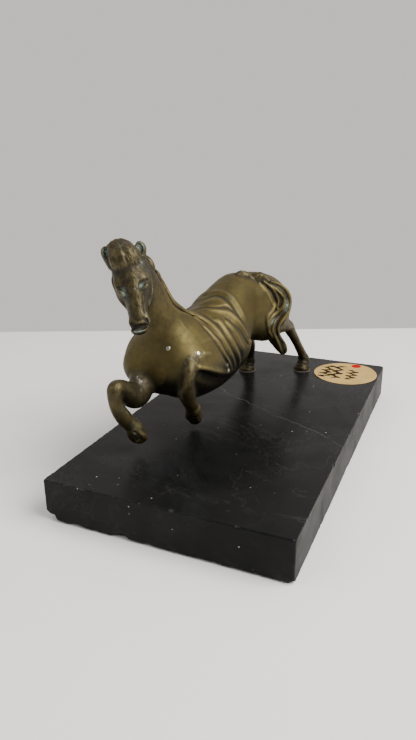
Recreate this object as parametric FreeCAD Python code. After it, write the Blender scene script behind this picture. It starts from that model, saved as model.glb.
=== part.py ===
"""Leaping bronze horse on a black marble base.

The row frame: origin at the centre of the base's underside, +X along the base's long side in the
horse's heading, +Y towards the horse's left, +Z up. Millimetres.

The horse is worked out in its own frame first: +X towards its chest, +Y to its left, +Z up from the
top of the marble, and then set down on the base by HORSE_PLACE.
"""
import FreeCAD, Part
import math
import os
from FreeCAD import Placement, Rotation, Vector

# ------------------------------------------------------------------ driving dimensions
BASE_LENGTH = 200.0
BASE_WIDTH = 110.0
STONE_THICKNESS = 19.0
STONE_CHAMFER = 0.6
FELT_THICKNESS = 0.5
FELT_INSET = 2.5
FELT_CORNER_RADIUS = 4.0

LABEL_RADIUS = 18.9
LABEL_THICKNESS = 0.12
LABEL_CENTRE = (-77.4, 35.3)

WALL = 2.6                      # thickness of the hollow torso casting
PLUG_RADIUS = 0.9               # plugs in the holes that the core pins leave
HORSE_TURN = -10.3              # degrees about +Z, from the base's long side to the horse's heading
HORSE_PLACE_XY = (-64.5, -5.5)

STUD_RADIUS = 1.5               # M3
STUD_HOLE_RADIUS = 1.7
STUD_IN_HOOF = 3.4
STUD_BOTTOM = 2.2
COUNTERBORE_RADIUS = 5.0
COUNTERBORE_TOP = 6.5
WASHER_RADIUS = 3.5
WASHER_HOLE_RADIUS = 1.6
WASHER_THICKNESS = 0.5
NUT_FLATS = 5.5
NUT_HEIGHT = 2.4
BEDDING_RADIUS = 5.3
BEDDING_THICKNESS = 0.3

STONE_TOP = FELT_THICKNESS + STONE_THICKNESS
UP = Vector(0, 0, 1)
ACROSS = Vector(0, 1, 0)
RING_POINTS = 14

LEFT_HIND_HOOF = (-12.2, 12.2)
RIGHT_HIND_HOOF = (6.4, -16.4)

# Torso sections, square to the horse's own X: x, lowest z, highest z, half-width, y of the middle.
TORSO = [
    (4.0, 37.0, 52.0, 8.0, -1.0),
    (8.0, 31.0, 59.0, 13.5, -1.0),
    (15.0, 28.5, 63.5, 16.5, -1.0),
    (24.0, 30.0, 66.0, 16.8, -2.5),
    (34.0, 31.5, 67.0, 15.6, -4.0),
    (43.0, 28.0, 67.8, 14.8, -4.5),
    (52.0, 20.5, 65.6, 16.5, -3.5),
    (62.0, 15.5, 61.7, 19.4, -2.5),
    (74.0, 13.3, 58.5, 20.8, -3.0),
    (86.0, 13.5, 56.5, 22.0, -3.4),
    (96.0, 15.0, 56.0, 22.8, -3.3),
    (105.0, 18.5, 55.0, 22.4, -3.0),
    (112.0, 22.5, 51.0, 19.8, -3.7),
    (117.0, 28.5, 45.0, 14.0, -4.8),
    (119.3, 33.0, 41.0, 7.0, -5.0),
]

# Limbs: stations along the middle line, x, y, z, half-width, half-depth.
NECK = [
    (97, -2, 46, 13, 14),
    (103, -2.2, 53.5, 11, 12.5),
    (109, -3, 62.5, 8.3, 10.2),
    (114, -4.3, 71.5, 7, 8.6),
    (119.5, -6, 81.5, 6.2, 7.2),
]
LEFT_FORELEG = [
    (106, 12.5, 43, 4.2, 4.2),
    (112.9, 16.3, 37, 3.2, 3.2),
    (113.6, 15.4, 31.3, 3.2, 3.2),
    (108.7, 11.6, 23.5, 3.4, 3.4),
    (99.9, 7.6, 14.9, 4.1, 4.1),
    (94.9, 5.5, 8.2, 4.3, 4.3),
    (92.4, 4.5, 3.8, 3.4, 3.4),
]
RIGHT_FORELEG = [
    (106, -6.5, 31, 7, 7),
    (117, -6, 26.5, 6.8, 6.8),
    (124.5, -5.5, 25.8, 6.4, 6.4),
    (131, -4.5, 29, 5, 5),
    (137, -4, 33.2, 4, 4),
    (141.2, -3.5, 33.8, 3.7, 3.7),
    (141.4, -3.3, 29.2, 3.4, 3.4),
    (139.6, -3, 24.5, 3.7, 3.7),
    (136.6, -2.5, 19.4, 3.9, 3.9),
    (132, -2, 14.4, 3.8, 3.8),
    (129.2, -1.8, 9.6, 4.2, 4.2),
    (127, -1.5, 5.8, 3.5, 3.5),
]
LEFT_HIND_LEG = [
    (27, 2, 44, 6.5, 6.5),
    (19.5, 6.5, 38.5, 5.8, 5.8),
    (12, 10.5, 34.3, 4.4, 4.4),
    (5.6, 10.5, 32.3, 3.5, 3.5),
    (2.4, 10.5, 28.6, 3.2, 3.2),
    (-1.4, 10.7, 24.6, 2.9, 2.9),
    (-6.6, 11.1, 18.3, 2.7, 2.7),
    (-12.6, 11.6, 10.7, 2.9, 2.9),
    (-14.2, 11.9, 5.6, 3.5, 3.5),
    (-12.2, 12.2, -1, 4.6, 4.6),
]
RIGHT_HIND_LEG = [
    (29, -12, 36, 8.5, 8.5),
    (20, -14.5, 28.5, 6.5, 6.5),
    (10.5, -15.2, 22.5, 4.8, 4.8),
    (6, -15.4, 16.5, 4, 4),
    (4.8, -15.8, 10, 3.4, 3.4),
    (5, -16.2, 5.5, 3.6, 3.6),
    (6.4, -16.4, -1, 4.6, 4.6),
]
TAIL = [
    (38, 0.5, 66.8, 3, 2.4),
    (34, 5.4, 65.2, 3.8, 3),
    (30.3, 9.5, 62.2, 4.5, 3.2),
    (26.4, 13.8, 57.2, 5.1, 3.3),
    (24.4, 16.0, 50.7, 5.5, 3.3),
    (25.5, 15.5, 44, 5.4, 3.2),
    (28.5, 14.5, 38.5, 5, 3),
    (29, 15.5, 33, 4.2, 2.8),
    (25.5, 17, 26, 3, 2.4),
    (24, 17.5, 22.3, 1.8, 1.6),
]
TAIL_ACROSS = Vector(0.55, -0.83, 0)

# Head: a line from the poll to the lips, in a frame turned from the horse's own.
HEAD_HEADING, HEAD_TILT, HEAD_ROLL = 38.0, 25.0, 9.0
POLL = Vector(125.3, -6.3, 90.5)
HEAD = [                        # along the face, out of the face, half-width, half-depth
    (-3.0, -4.0, 4.5, 4.5),
    (0.0, -3.0, 6.4, 6.3),
    (6.0, -2.8, 7.6, 7.8),
    (13.0, -3.0, 8.3, 8.5),
    (20.0, -2.8, 6.8, 7.8),
    (27.0, -1.1, 4.8, 5.4),
    (32.5, -0.7, 4.5, 4.2),
    (35.4, -1.0, 3.4, 3.2),
]
FORELOCK_DOWN, FORELOCK_OUT = 1.0, 2.2
FORELOCK_RADII = (6.6, 6.6, 4.8)
EAR_REACH = 4.0
EAR_SPREAD = 7.6
MANE = [
    (92, -5.5, 56.5, 2.0, 3.0),
    (98.5, -6.5, 63, 2.4, 5.0),
    (105, -7.5, 71, 2.6, 5.5),
    (111, -9, 79.5, 2.6, 5.5),
    (118, -10, 86, 2.8, 5.0),
]

# Dowel pins between the castings: start inside the torso, end inside the limb, radius.
PINS = {
    "left_foreleg_pin": ((106.5, 10.5, 30.2), (114.3, 15.8, 31.4), 1.2),
    "right_foreleg_pin": ((107, -6.4, 30.5), (124.5, -5.6, 26.0), 1.6),
    "left_hind_leg_pin": ((22.5, 8.5, 38.2), (8.5, 10.5, 33.2), 1.3),
    "right_hind_leg_pin": ((27.5, -12.4, 34.5), (13.0, -15.0, 24.3), 1.6),
    "tail_pin": ((18.5, 9.0, 51.5), (26.0, 14.2, 54.6), 1.1),
}
SLEEVE_FROM, SLEEVE_TO = (97.0, -2.2, 45.0), (107.0, -2.8, 60.5)
SLEEVE_RADIUS, SLEEVE_BORE = 5.5, 4.0

# Plugged core-pin holes: a point on the skin and a point inside, towards which the hole runs.
PLUGS = [
    ((114.4, 6.1, 46.9), (100, 0, 38)),
    ((106.4, 17.2, 44.8), (98, 2, 36)),
    ((106.0, -22.8, 44.8), (98, -8, 36)),
    ((82.0, 17.6, 28.8), (82, 2, 36)),
    ((82.0, -23.2, 28.8), (82, -8, 36)),
    ((39.6, -1.0, 69.8), (39.6, -3, 55)),
]


# ------------------------------------------------------------------ helpers
def vector(point):
    """The first three numbers of a point or a station."""
    return Vector(*point[:3])


def ring(centre, side, other, half_side, half_other):
    """A closed smooth outline of an ellipse, started at the same angle on every section."""
    points = []
    for i in range(RING_POINTS):
        angle = 2 * math.pi * i / RING_POINTS
        points.append(centre + side * (half_side * math.cos(angle)) + other * (half_other * math.sin(angle)))
    curve = Part.BSplineCurve()
    curve.interpolate(Points=points, PeriodicFlag=True)
    return Part.Wire([curve.toShape()])


def loft(wires):
    solid = Part.makeLoft(wires, True, False)
    if solid.Volume < 0:
        solid.reverse()
    return solid


def limb(stations, across=ACROSS):
    """A tapered round limb along the stations' middle line."""
    centres = [vector(s) for s in stations]
    wires = []
    for i, station in enumerate(stations):
        along = (centres[min(i + 1, len(centres) - 1)] - centres[max(i - 1, 0)]).normalize()
        side = (across - along * across.dot(along)).normalize()
        wires.append(ring(centres[i], side, along.cross(side), station[3], station[4]))
    return loft(wires)


def torso(inset=0.0, ends=(0, len(TORSO))):
    """The torso's outer skin, or with an inset the cavity inside it."""
    wires = []
    for x, low, high, half_width, middle in TORSO[ends[0]:ends[1]]:
        centre = Vector(x, middle, (low + high) / 2)
        wires.append(ring(centre, ACROSS, UP, half_width - inset, (high - low) / 2 - inset))
    return loft(wires)


def rod(start, end, radius):
    """A round bar from one point to another."""
    start, end = vector(start), vector(end)
    return Part.makeCylinder(radius, (end - start).Length, start, end - start)


def upright(radius, low, high, at=(0, 0)):
    return Part.makeCylinder(radius, high - low, Vector(at[0], at[1], low))


def ellipsoid(centre, axes, radii):
    """A ball stretched along three square axes."""
    ball = Part.makeSphere(1.0)
    matrix = FreeCAD.Matrix()
    columns = [axis * radius for axis, radius in zip(axes, radii)]
    matrix.A11, matrix.A21, matrix.A31 = columns[0]
    matrix.A12, matrix.A22, matrix.A32 = columns[1]
    matrix.A13, matrix.A23, matrix.A33 = columns[2]
    matrix.A14, matrix.A24, matrix.A34 = centre
    return ball.transformGeometry(matrix)


def head_axes():
    """Down the face, to the horse's left, and out of the forehead."""
    heading, tilt, roll = (math.radians(a) for a in (HEAD_HEADING, HEAD_TILT, HEAD_ROLL))
    forward = Vector(math.cos(heading), math.sin(heading), 0)
    left = Vector(-math.sin(heading), math.cos(heading), 0)
    down = forward * math.sin(tilt) - UP * math.cos(tilt)
    out = forward * math.cos(tilt) + UP * math.sin(tilt)
    return (
        down * math.cos(roll) + left * math.sin(roll),
        left * math.cos(roll) - down * math.sin(roll),
        out,
    )


def on_base(shape):
    """From the horse's own frame to the row frame."""
    placed = shape.copy()
    placed.Placement = Placement(
        Vector(HORSE_PLACE_XY[0], HORSE_PLACE_XY[1], STONE_TOP), Rotation(UP, HORSE_TURN)
    ).multiply(placed.Placement)
    return placed


def to_row(x, y):
    """The same move for a point on the marble's top."""
    turn = math.radians(HORSE_TURN)
    return (
        HORSE_PLACE_XY[0] + x * math.cos(turn) - y * math.sin(turn),
        HORSE_PLACE_XY[1] + x * math.sin(turn) + y * math.cos(turn),
    )


def largest(shape):
    """The main solid of a cut, without the crumbs that stay inside the torso."""
    return max(shape.Solids, key=lambda solid: solid.Volume)


# ------------------------------------------------------------------ the horse's castings
def head_and_neck():
    down, left, out = head_axes()
    skull = loft([
        ring(POLL + down * along + out * offset, left, out, half_width, half_depth)
        for along, offset, half_width, half_depth in HEAD
    ])
    shape = limb(NECK).fuse(skull)
    shape = shape.fuse(limb(MANE))
    for sign in (-1, 1):
        root = POLL + left * (sign * EAR_SPREAD * 0.75) - out * 2 + down * 1.5
        tip = POLL + left * (sign * EAR_SPREAD) - down * EAR_REACH - out * 3
        middle = (root + tip) * 0.5
        along = (tip - root).normalize()
        side = (out - along * out.dot(along)).normalize()
        shape = shape.fuse(loft([
            ring(root, side, along.cross(side), 2.4, 2.4),
            ring(middle, side, along.cross(side), 3.4, 3.1),
            ring(tip, side, along.cross(side), 1.6, 1.4),
        ]))
    forelock = ellipsoid(POLL + down * FORELOCK_DOWN + out * FORELOCK_OUT, (down, left, out), FORELOCK_RADII)
    return shape.fuse(forelock)


def castings():
    """The torso shell, the castings brazed to it, and the pins, sleeve and plugs between them."""
    skin = torso()
    cavity = torso(WALL, (1, len(TORSO) - 1))
    below = Part.makeBox(400, 400, 60, Vector(-200, -200, -60 + BEDDING_THICKNESS))
    pins = {name: rod(*ends) for name, ends in PINS.items()}
    sleeve = rod(SLEEVE_FROM, SLEEVE_TO, SLEEVE_RADIUS)

    outer = {
        "head_and_neck": head_and_neck(),
        "left_foreleg": limb(LEFT_FORELEG),
        "right_foreleg": limb(RIGHT_FORELEG),
        "left_hind_leg": limb(LEFT_HIND_LEG),
        "right_hind_leg": limb(RIGHT_HIND_LEG),
        "tail": limb(TAIL, TAIL_ACROSS),
    }
    parts = {name: largest(shape.cut(skin)) for name, shape in outer.items()}
    parts["tail"] = largest(parts["tail"].cut(outer["left_hind_leg"]))
    parts["head_and_neck"] = largest(parts["head_and_neck"].cut(sleeve))
    for name, pin in pins.items():
        limb_name = name[:-len("_pin")]
        parts[limb_name] = largest(parts[limb_name].cut(pin))

    shell = skin.cut(cavity)
    for bar in [*pins.values(), sleeve]:
        shell = shell.cut(bar)
    plugs = []
    for surface, inside in PLUGS:
        surface, inside = vector(surface), vector(inside)
        inward = (inside - surface).normalize()
        bar = rod(surface - inward * 4, surface + inward * (WALL + 3), PLUG_RADIUS)
        plugs.append(largest(bar.common(shell)))
        shell = shell.cut(bar)
    parts["torso_shell"] = largest(shell)
    parts["core_pin_plugs"] = Part.makeCompound(plugs)

    for hoof, leg, stud in (
        (LEFT_HIND_HOOF, "left_hind_leg", "left_mounting_stud"),
        (RIGHT_HIND_HOOF, "right_hind_leg", "right_mounting_stud"),
    ):
        bar = upright(STUD_RADIUS, STUD_BOTTOM - STONE_TOP, STUD_IN_HOOF, hoof)
        parts[leg] = largest(parts[leg].cut(below).cut(bar))
        parts[stud] = bar

    parts["neck_sleeve"] = sleeve.cut(rod(SLEEVE_FROM, SLEEVE_TO, SLEEVE_BORE))
    parts.update(pins)
    return {name: on_base(shape) for name, shape in parts.items()}


# ------------------------------------------------------------------ the base and its fastenings
def base():
    hooves = [to_row(*LEFT_HIND_HOOF), to_row(*RIGHT_HIND_HOOF)]
    stone = Part.makeBox(
        BASE_LENGTH, BASE_WIDTH, STONE_THICKNESS,
        Vector(-BASE_LENGTH / 2, -BASE_WIDTH / 2, FELT_THICKNESS),
    )
    stone = stone.makeChamfer(STONE_CHAMFER, stone.Edges)
    washers, nuts, bedding = [], [], []
    washer_low = COUNTERBORE_TOP - WASHER_THICKNESS
    nut_low = washer_low - NUT_HEIGHT
    for at in hooves:
        stone = stone.cut(upright(STUD_HOLE_RADIUS, 0, STONE_TOP + 1, at))
        stone = stone.cut(upright(COUNTERBORE_RADIUS, 0, COUNTERBORE_TOP, at))
        washer = upright(WASHER_RADIUS, washer_low, COUNTERBORE_TOP, at)
        washers.append(washer.cut(upright(WASHER_HOLE_RADIUS, 0, STONE_TOP, at)))
        nuts.append(hexagon(nut_low, NUT_HEIGHT, at).cut(upright(STUD_RADIUS, 0, STONE_TOP, at)))
        disc = upright(BEDDING_RADIUS, STONE_TOP, STONE_TOP + BEDDING_THICKNESS, at)
        bedding.append(disc.cut(upright(STUD_RADIUS, STONE_TOP - 1, STONE_TOP + 1, at)))
    felt = Part.makeBox(
        BASE_LENGTH - 2 * FELT_INSET, BASE_WIDTH - 2 * FELT_INSET, FELT_THICKNESS,
        Vector(FELT_INSET - BASE_LENGTH / 2, FELT_INSET - BASE_WIDTH / 2, 0),
    )
    corners = [e for e in felt.Edges if abs(e.Vertexes[0].Z - e.Vertexes[1].Z) > FELT_THICKNESS / 2]
    felt = felt.makeFillet(FELT_CORNER_RADIUS, corners)
    return {
        "marble_base": stone,
        "base_felt": felt,
        "paper_label": upright(LABEL_RADIUS, STONE_TOP, STONE_TOP + LABEL_THICKNESS, LABEL_CENTRE),
        "stud_washers": Part.makeCompound(washers),
        "stud_nuts": Part.makeCompound(nuts),
        "hoof_bedding": Part.makeCompound(bedding),
    }


def hexagon(low, height, at):
    """A plain hexagon nut blank."""
    reach = NUT_FLATS / math.sqrt(3)
    corners = []
    for i in range(7):
        angle = math.radians(60 * i)
        corners.append(Vector(at[0] + reach * math.cos(angle), at[1] + reach * math.sin(angle), low))
    return Part.Face(Part.makePolygon(corners)).extrude(UP * height)


def main():
    os.makedirs("parts", exist_ok=True)
    for name, shape in {**base(), **castings()}.items():
        box = shape.BoundBox
        print(
            f"{name:20s} valid={shape.isValid()} solids={len(shape.Solids)} volume={shape.Volume:9.1f}"
            f"  x {box.XMin:6.1f} {box.XMax:6.1f}  y {box.YMin:6.1f} {box.YMax:6.1f}"
            f"  z {box.ZMin:6.1f} {box.ZMax:6.1f}"
        )
        shape.exportStep(f"parts/{name}.step")


main()
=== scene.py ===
"""Looks of the bronze horse statuette on its marble base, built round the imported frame."""
import math

import bpy
import numpy as np
from mathutils import Matrix, Vector


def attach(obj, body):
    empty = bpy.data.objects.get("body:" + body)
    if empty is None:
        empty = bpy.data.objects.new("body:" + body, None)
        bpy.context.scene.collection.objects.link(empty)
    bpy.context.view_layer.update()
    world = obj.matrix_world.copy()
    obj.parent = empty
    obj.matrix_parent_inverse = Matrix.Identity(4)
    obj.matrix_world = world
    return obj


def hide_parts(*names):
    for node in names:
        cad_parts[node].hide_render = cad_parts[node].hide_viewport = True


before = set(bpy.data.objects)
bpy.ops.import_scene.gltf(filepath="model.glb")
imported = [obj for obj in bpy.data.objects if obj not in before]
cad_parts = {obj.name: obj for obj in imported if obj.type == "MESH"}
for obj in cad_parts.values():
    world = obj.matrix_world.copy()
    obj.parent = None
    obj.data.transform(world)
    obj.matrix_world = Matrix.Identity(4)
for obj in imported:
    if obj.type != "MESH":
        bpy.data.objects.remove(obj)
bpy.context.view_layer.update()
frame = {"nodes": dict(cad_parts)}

MM = 0.001
STONE = (200.0, 110.0, 19.0)          # slab, mm
FELT = 0.5                            # felt's thickness, mm
FELT_SIZE = (195.0, 105.0)
STONE_TOP = FELT + STONE[2]
HORSE_TURN = math.radians(-10.3)      # the horse's own frame in the row frame
HORSE_PLACE = np.array([-64.5, -5.5, STONE_TOP])
LABEL_AT, LABEL_RADIUS = (-77.4, 35.3), 18.9

# ---------------------------------------------------------------- implicit surface kit

def smin(a, b, k):
    """The smaller of two fields, with a rounded joint about k wide."""
    h = np.clip(0.5 + 0.5 * (b - a) / k, 0, 1)
    return b * (1 - h) + a * h - k * h * (1 - h)

class Clay:
    """A block of grid points that holds one distance field; inside is negative."""
    def __init__(self, low, high, step):
        self.low = np.array(low, np.float32)
        self.step = step
        n = np.ceil((np.array(high) - low) / step).astype(int) + 1
        self.axes = [self.low[i] + np.arange(n[i], dtype=np.float32) * step for i in range(3)]
        self.f = np.full(n, 9.0, np.float32)

    def window(self, low, high):
        """The grid slices that cover a box."""
        out = []
        for i in range(3):
            a = max(0, int(np.floor((low[i] - self.low[i]) / self.step)))
            b = min(self.f.shape[i], int(np.ceil((high[i] - self.low[i]) / self.step)) + 1)
            out.append(slice(a, max(a, b)))
        return tuple(out)

    def coords(self, w):
        """x, y and z of a window, ready to broadcast."""
        return np.meshgrid(*[self.axes[i][w[i]] for i in range(3)], indexing="ij", sparse=True)

    def add(self, shape, k=1.0):
        w, d = shape(self)
        if d is not None:
            self.f[w] = smin(self.f[w], d, k)

    def carve(self, shape, k=0.5):
        w, d = shape(self)
        if d is not None:
            self.f[w] = -smin(-self.f[w], d, k)

def soften(f, n):
    """Box blur of a field, n cells each way."""
    for axis in range(3):
        pad = [(0, 0)]*3
        pad[axis] = (n + 1, n)
        c = np.cumsum(np.pad(f, pad, mode="edge").astype(np.float64), axis=axis)
        m = c.shape[axis]
        f = (np.take(c, range(2*n + 1, m), axis) - np.take(c, range(0, m - 2*n - 1), axis))/(2*n + 1)
    return f.astype(np.float32)

def spline(points, per=6):
    """A smooth line through the points, with `per` steps from each to the next."""
    p = np.array(points, float)
    q = np.vstack([2 * p[0] - p[1], p, 2 * p[-1] - p[-2]])
    out = []
    for i in range(1, len(q) - 2):
        t = np.linspace(0, 1, per, endpoint=False)[:, None]
        a, b, c, d = q[i - 1], q[i], q[i + 1], q[i + 2]
        out.append(0.5 * ((2 * b) + (c - a) * t + (2 * a - 5 * b + 4 * c - d) * t**2
                          + (3 * b - 3 * c + d - a) * t**3))
    out.append(q[-2][None])
    return np.vstack(out)

def limb(points, wide, thick=None, side=(0, 1, 0), per=6, margin=4.0):
    """A rounded tube along a smooth line.

    Its half-width is `wide` along `side`, and its half-thickness `thick` across that.
    """
    points = np.array(points, float)
    wide = np.broadcast_to(np.array(wide, float), len(points))
    thick = wide if thick is None else np.broadcast_to(np.array(thick, float), len(points))
    side = np.broadcast_to(np.array(side, float), (len(points), 3))
    rows = spline(np.c_[points, wide, thick, side], per)
    def shape(clay):
        reach = rows[:, 3:5].max() + margin
        w = clay.window(rows[:, :3].min(0) - reach, rows[:, :3].max(0) + reach)
        size = tuple(s.stop - s.start for s in w)
        if 0 in size:
            return w, None
        d = np.full(size, 9.0, np.float32)
        for a, b in zip(rows[:-1], rows[1:]):
            r = max(a[3:5].max(), b[3:5].max()) + margin
            v = clay.window(np.minimum(a[:3], b[:3]) - r, np.maximum(a[:3], b[:3]) + r)
            v = tuple(slice(max(v[i].start, w[i].start), min(v[i].stop, w[i].stop)) for i in range(3))
            if any(s.stop <= s.start for s in v):
                continue
            x, y, z = clay.coords(v)
            ab = b[:3] - a[:3]
            square = max(ab @ ab, 1e-9)
            along = (x - a[0]) * ab[0] + (y - a[1]) * ab[1] + (z - a[2]) * ab[2]
            t = np.clip(along / square, 0, 1).astype(np.float32)
            dx = x - (a[0] + ab[0] * t)
            dy = y - (a[1] + ab[1] * t)
            dz = z - (a[2] + ab[2] * t)
            tangent = ab / np.sqrt(square)
            s = (a[5:8] + b[5:8]) / 2
            s = s - tangent * (s @ tangent)
            s /= np.linalg.norm(s) + 1e-9
            n = np.cross(tangent, s)
            u = dx * s[0] + dy * s[1] + dz * s[2]
            q = dx * n[0] + dy * n[1] + dz * n[2]
            length = np.sqrt(dx * dx + dy * dy + dz * dz) + 1e-6
            ru = a[3] + (b[3] - a[3]) * t
            rn = a[4] + (b[4] - a[4]) * t
            c2 = np.maximum(u * u + q * q, 1e-6)
            rad = np.sqrt(c2 / ((u / ru) ** 2 + (q / rn) ** 2 + 1e-9))
            # beyond the ends blend to the mean radius
            share = c2 / (length * length)
            rad = rad * share + np.minimum(ru, rn) * (1 - share)
            o = tuple(slice(v[i].start - w[i].start, v[i].stop - w[i].start) for i in range(3))
            d[o] = np.minimum(d[o], (length - rad).astype(np.float32))
        return w, d
    return shape

def ball(centre, radii, turn=None, margin=4.0):
    """An ellipsoid; `turn` is a 3x3 whose rows are its own axes."""
    centre = np.array(centre, float)
    radii = np.broadcast_to(np.array(radii, float), 3)
    turn = np.eye(3) if turn is None else np.array(turn, float)
    def shape(clay):
        reach = radii.max() + margin
        w = clay.window(centre - reach, centre + reach)
        if any(s.stop <= s.start for s in w):
            return w, None
        x, y, z = clay.coords(w)
        x, y, z = x - centre[0], y - centre[1], z - centre[2]
        a = [x * t[0] + y * t[1] + z * t[2] for t in turn]
        k0 = np.sqrt((a[0] / radii[0]) ** 2 + (a[1] / radii[1]) ** 2 + (a[2] / radii[2]) ** 2) + 1e-6
        k1 = np.sqrt((a[0] / radii[0] ** 2) ** 2 + (a[1] / radii[1] ** 2) ** 2
                     + (a[2] / radii[2] ** 2) ** 2) + 1e-6
        return w, (k0 * (k0 - 1) / k1).astype(np.float32)
    return shape

def surface_nets(f, low, step):
    """Vertices and quads of f = 0; inside is negative."""
    s = f < 0
    n = f.shape
    c = np.zeros([m - 1 for m in n], np.uint8)
    corners = [(i, j, k) for i in (0, 1) for j in (0, 1) for k in (0, 1)]
    for i, j, k in corners:
        c += s[i:n[0] - 1 + i, j:n[1] - 1 + j, k:n[2] - 1 + k]
    active = (c > 0) & (c < 8)
    idx = np.argwhere(active)
    number = np.full(c.shape, -1, np.int32)
    number[active] = np.arange(len(idx))
    pos = np.zeros((len(idx), 3), np.float64)
    cnt = np.zeros(len(idx))
    val = {o: f[idx[:, 0] + o[0], idx[:, 1] + o[1], idx[:, 2] + o[2]].astype(float) for o in corners}
    for a in corners:
        for ax in range(3):
            if a[ax]:
                continue
            b = list(a)
            b[ax] = 1
            b = tuple(b)
            va, vb = val[a], val[b]
            m = (va < 0) != (vb < 0)
            t = va[m] / (va[m] - vb[m])
            p = np.array(a, float)[None].repeat(m.sum(), 0)
            p[:, ax] += t
            pos[m] += p
            cnt[m] += 1
    verts = (idx + pos / cnt[:, None]) * step + low
    quads = []
    for ax in range(3):
        o1, o2 = [(1, 2), (2, 0), (0, 1)][ax]
        lo = [slice(1, n[i] - 1) for i in range(3)]
        hi = list(lo)
        lo[ax] = slice(0, n[ax] - 1)
        hi[ax] = slice(1, n[ax])
        a, b = s[tuple(lo)], s[tuple(hi)]
        for flip, m in ((False, a & ~b), (True, ~a & b)):
            e = np.argwhere(m)
            e = e + np.array([0 if i == ax else 1 for i in range(3)])
            def cell(d1, d2):
                q = e.copy()
                q[:, o1] -= d1
                q[:, o2] -= d2
                return number[q[:, 0], q[:, 1], q[:, 2]]
            quad = np.c_[cell(1, 1), cell(0, 1), cell(0, 0), cell(1, 0)]
            quads.append(quad[:, ::-1] if flip else quad)
    return verts, np.vstack(quads)

# ---------------------------------------------------------------- the horse, in its own frame, in mm

# Sections along the body: x, belly, back, half-width, y of the middle. They start from a least-squares
# fit to the photograph's outline, rounded and changed.
TORSO = np.array([
    (2.0, 41.5, 48.5, 4.0, -1.0),
    (4.0, 37.0, 53.0, 8.5, -1.0),
    (8.0, 32.0, 59.5, 13.0, -1.0),
    (15.0, 29.0, 63.5, 16.3, -1.2),
    (24.0, 29.8, 66.0, 16.8, -2.3),
    (34.0, 31.0, 67.0, 15.8, -3.8),
    (43.0, 28.0, 67.8, 15.0, -4.4),
    (52.0, 21.0, 65.6, 16.5, -3.7),
    (62.0, 15.8, 61.7, 19.2, -2.8),
    (74.0, 13.4, 58.5, 20.8, -3.0),
    (86.0, 13.5, 56.5, 22.0, -3.4),
    (96.0, 15.0, 56.0, 22.8, -3.3),
    (103.0, 17.8, 55.2, 22.4, -3.1),
])
# Centre lines, as rows of x, y, z, half-width and, where it isn't round, half-thickness. Those of the
# legs and tail start from points traced on the photograph, and were changed.
LEFT_FORE = [
    (106, 12.5, 41.5, 3.6), (110, 14.6, 39.5, 3.2), (112.6, 15.8, 36, 2.8), (113.2, 15.2, 31.3, 2.75),
    (111.5, 13.6, 26.8, 3.2), (108.2, 11.4, 22.9, 3.5), (104.3, 9.4, 19, 3.3), (99.9, 7.6, 14.9, 3.3),
    (96.7, 6.2, 10.8, 3.6), (94.4, 5.2, 7.2, 4.0), (93.0, 4.6, 4.8, 3.4),
]
RIGHT_FORE = [
    (110, -7, 35, 7), (118, -6.4, 29.5, 6.2), (124.5, -5.6, 25.7, 6.2), (130.8, -4.6, 29.2, 4.9),
    (136.2, -4, 33.3, 3.8), (140.0, -3.5, 33.9, 3.5), (140.5, -3.3, 29.6, 3.2), (139.4, -3, 24.7, 3.35),
    (136.3, -2.5, 19.4, 3.6), (132.3, -2, 14.6, 3.4), (129.6, -1.8, 10.2, 3.9), (128.0, -1.6, 7.6, 3.6),
]
LEFT_HIND = [
    (26, 4, 42, 7.5), (19, 8, 38, 6.0), (12, 10.3, 34.6, 4.4), (5.8, 10.5, 32.3, 3.5),
    (2.4, 10.5, 28.6, 3.1), (-1.4, 10.7, 24.6, 2.8), (-6.6, 11.1, 18.3, 2.5), (-12.6, 11.6, 10.7, 2.7),
    (-15.2, 11.8, 6.6, 3.2),
]
RIGHT_HIND = [
    (29, -10, 36, 8), (20, -13.5, 28.8, 6.2), (10.5, -15, 22.5, 4.6), (6, -15.3, 16.5, 3.8),
    (4.6, -15.7, 10, 3.0), (4.4, -16.1, 6.4, 3.3),
]
# the hind hooves, left and right: the hoof's top and the middle of its sole
HOOVES = [((-15.4, 11.8, 6.4), (-12.2, 12.2, 0)), ((4.4, -16.1, 6.2), (6.4, -16.4, 0))]
TAIL = [
    (44, -4, 64.0, 2.2, 2.0), (39.8, -.8, 66.6, 3.0, 2.9), (35.8, 1.8, 64.2, 3.0, 2.1),
    (31.8, 5.3, 64.7, 3.5, 3.0), (29.2, 9.0, 60.8, 3.7, 2.5), (26.6, 12.9, 56.8, 4.7, 3.3),
    (24.6, 15.4, 50.5, 5.4, 3.3), (25.5, 15.5, 44.5, 5.2, 3.2), (28.3, 14.7, 38.8, 4.6, 3.0),
    (28.6, 15.6, 33, 4.2, 2.8), (25.8, 17, 26.5, 3.2, 2.5), (24.2, 17.6, 22.8, 2.0, 1.8),
]
TAIL_SIDE = (0.55, -0.83, 0)
NECK = [
    (96, -2, 44, 12.5, 13), (102.5, -2.0, 51.5, 10.5, 11.5), (108, -2.6, 60, 8.2, 9.6),
    (113, -3.8, 68.5, 7.0, 8.2), (117.5, -5.0, 77, 6.3, 7.2), (121, -6.0, 84, 5.6, 6.0),
]

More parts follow.
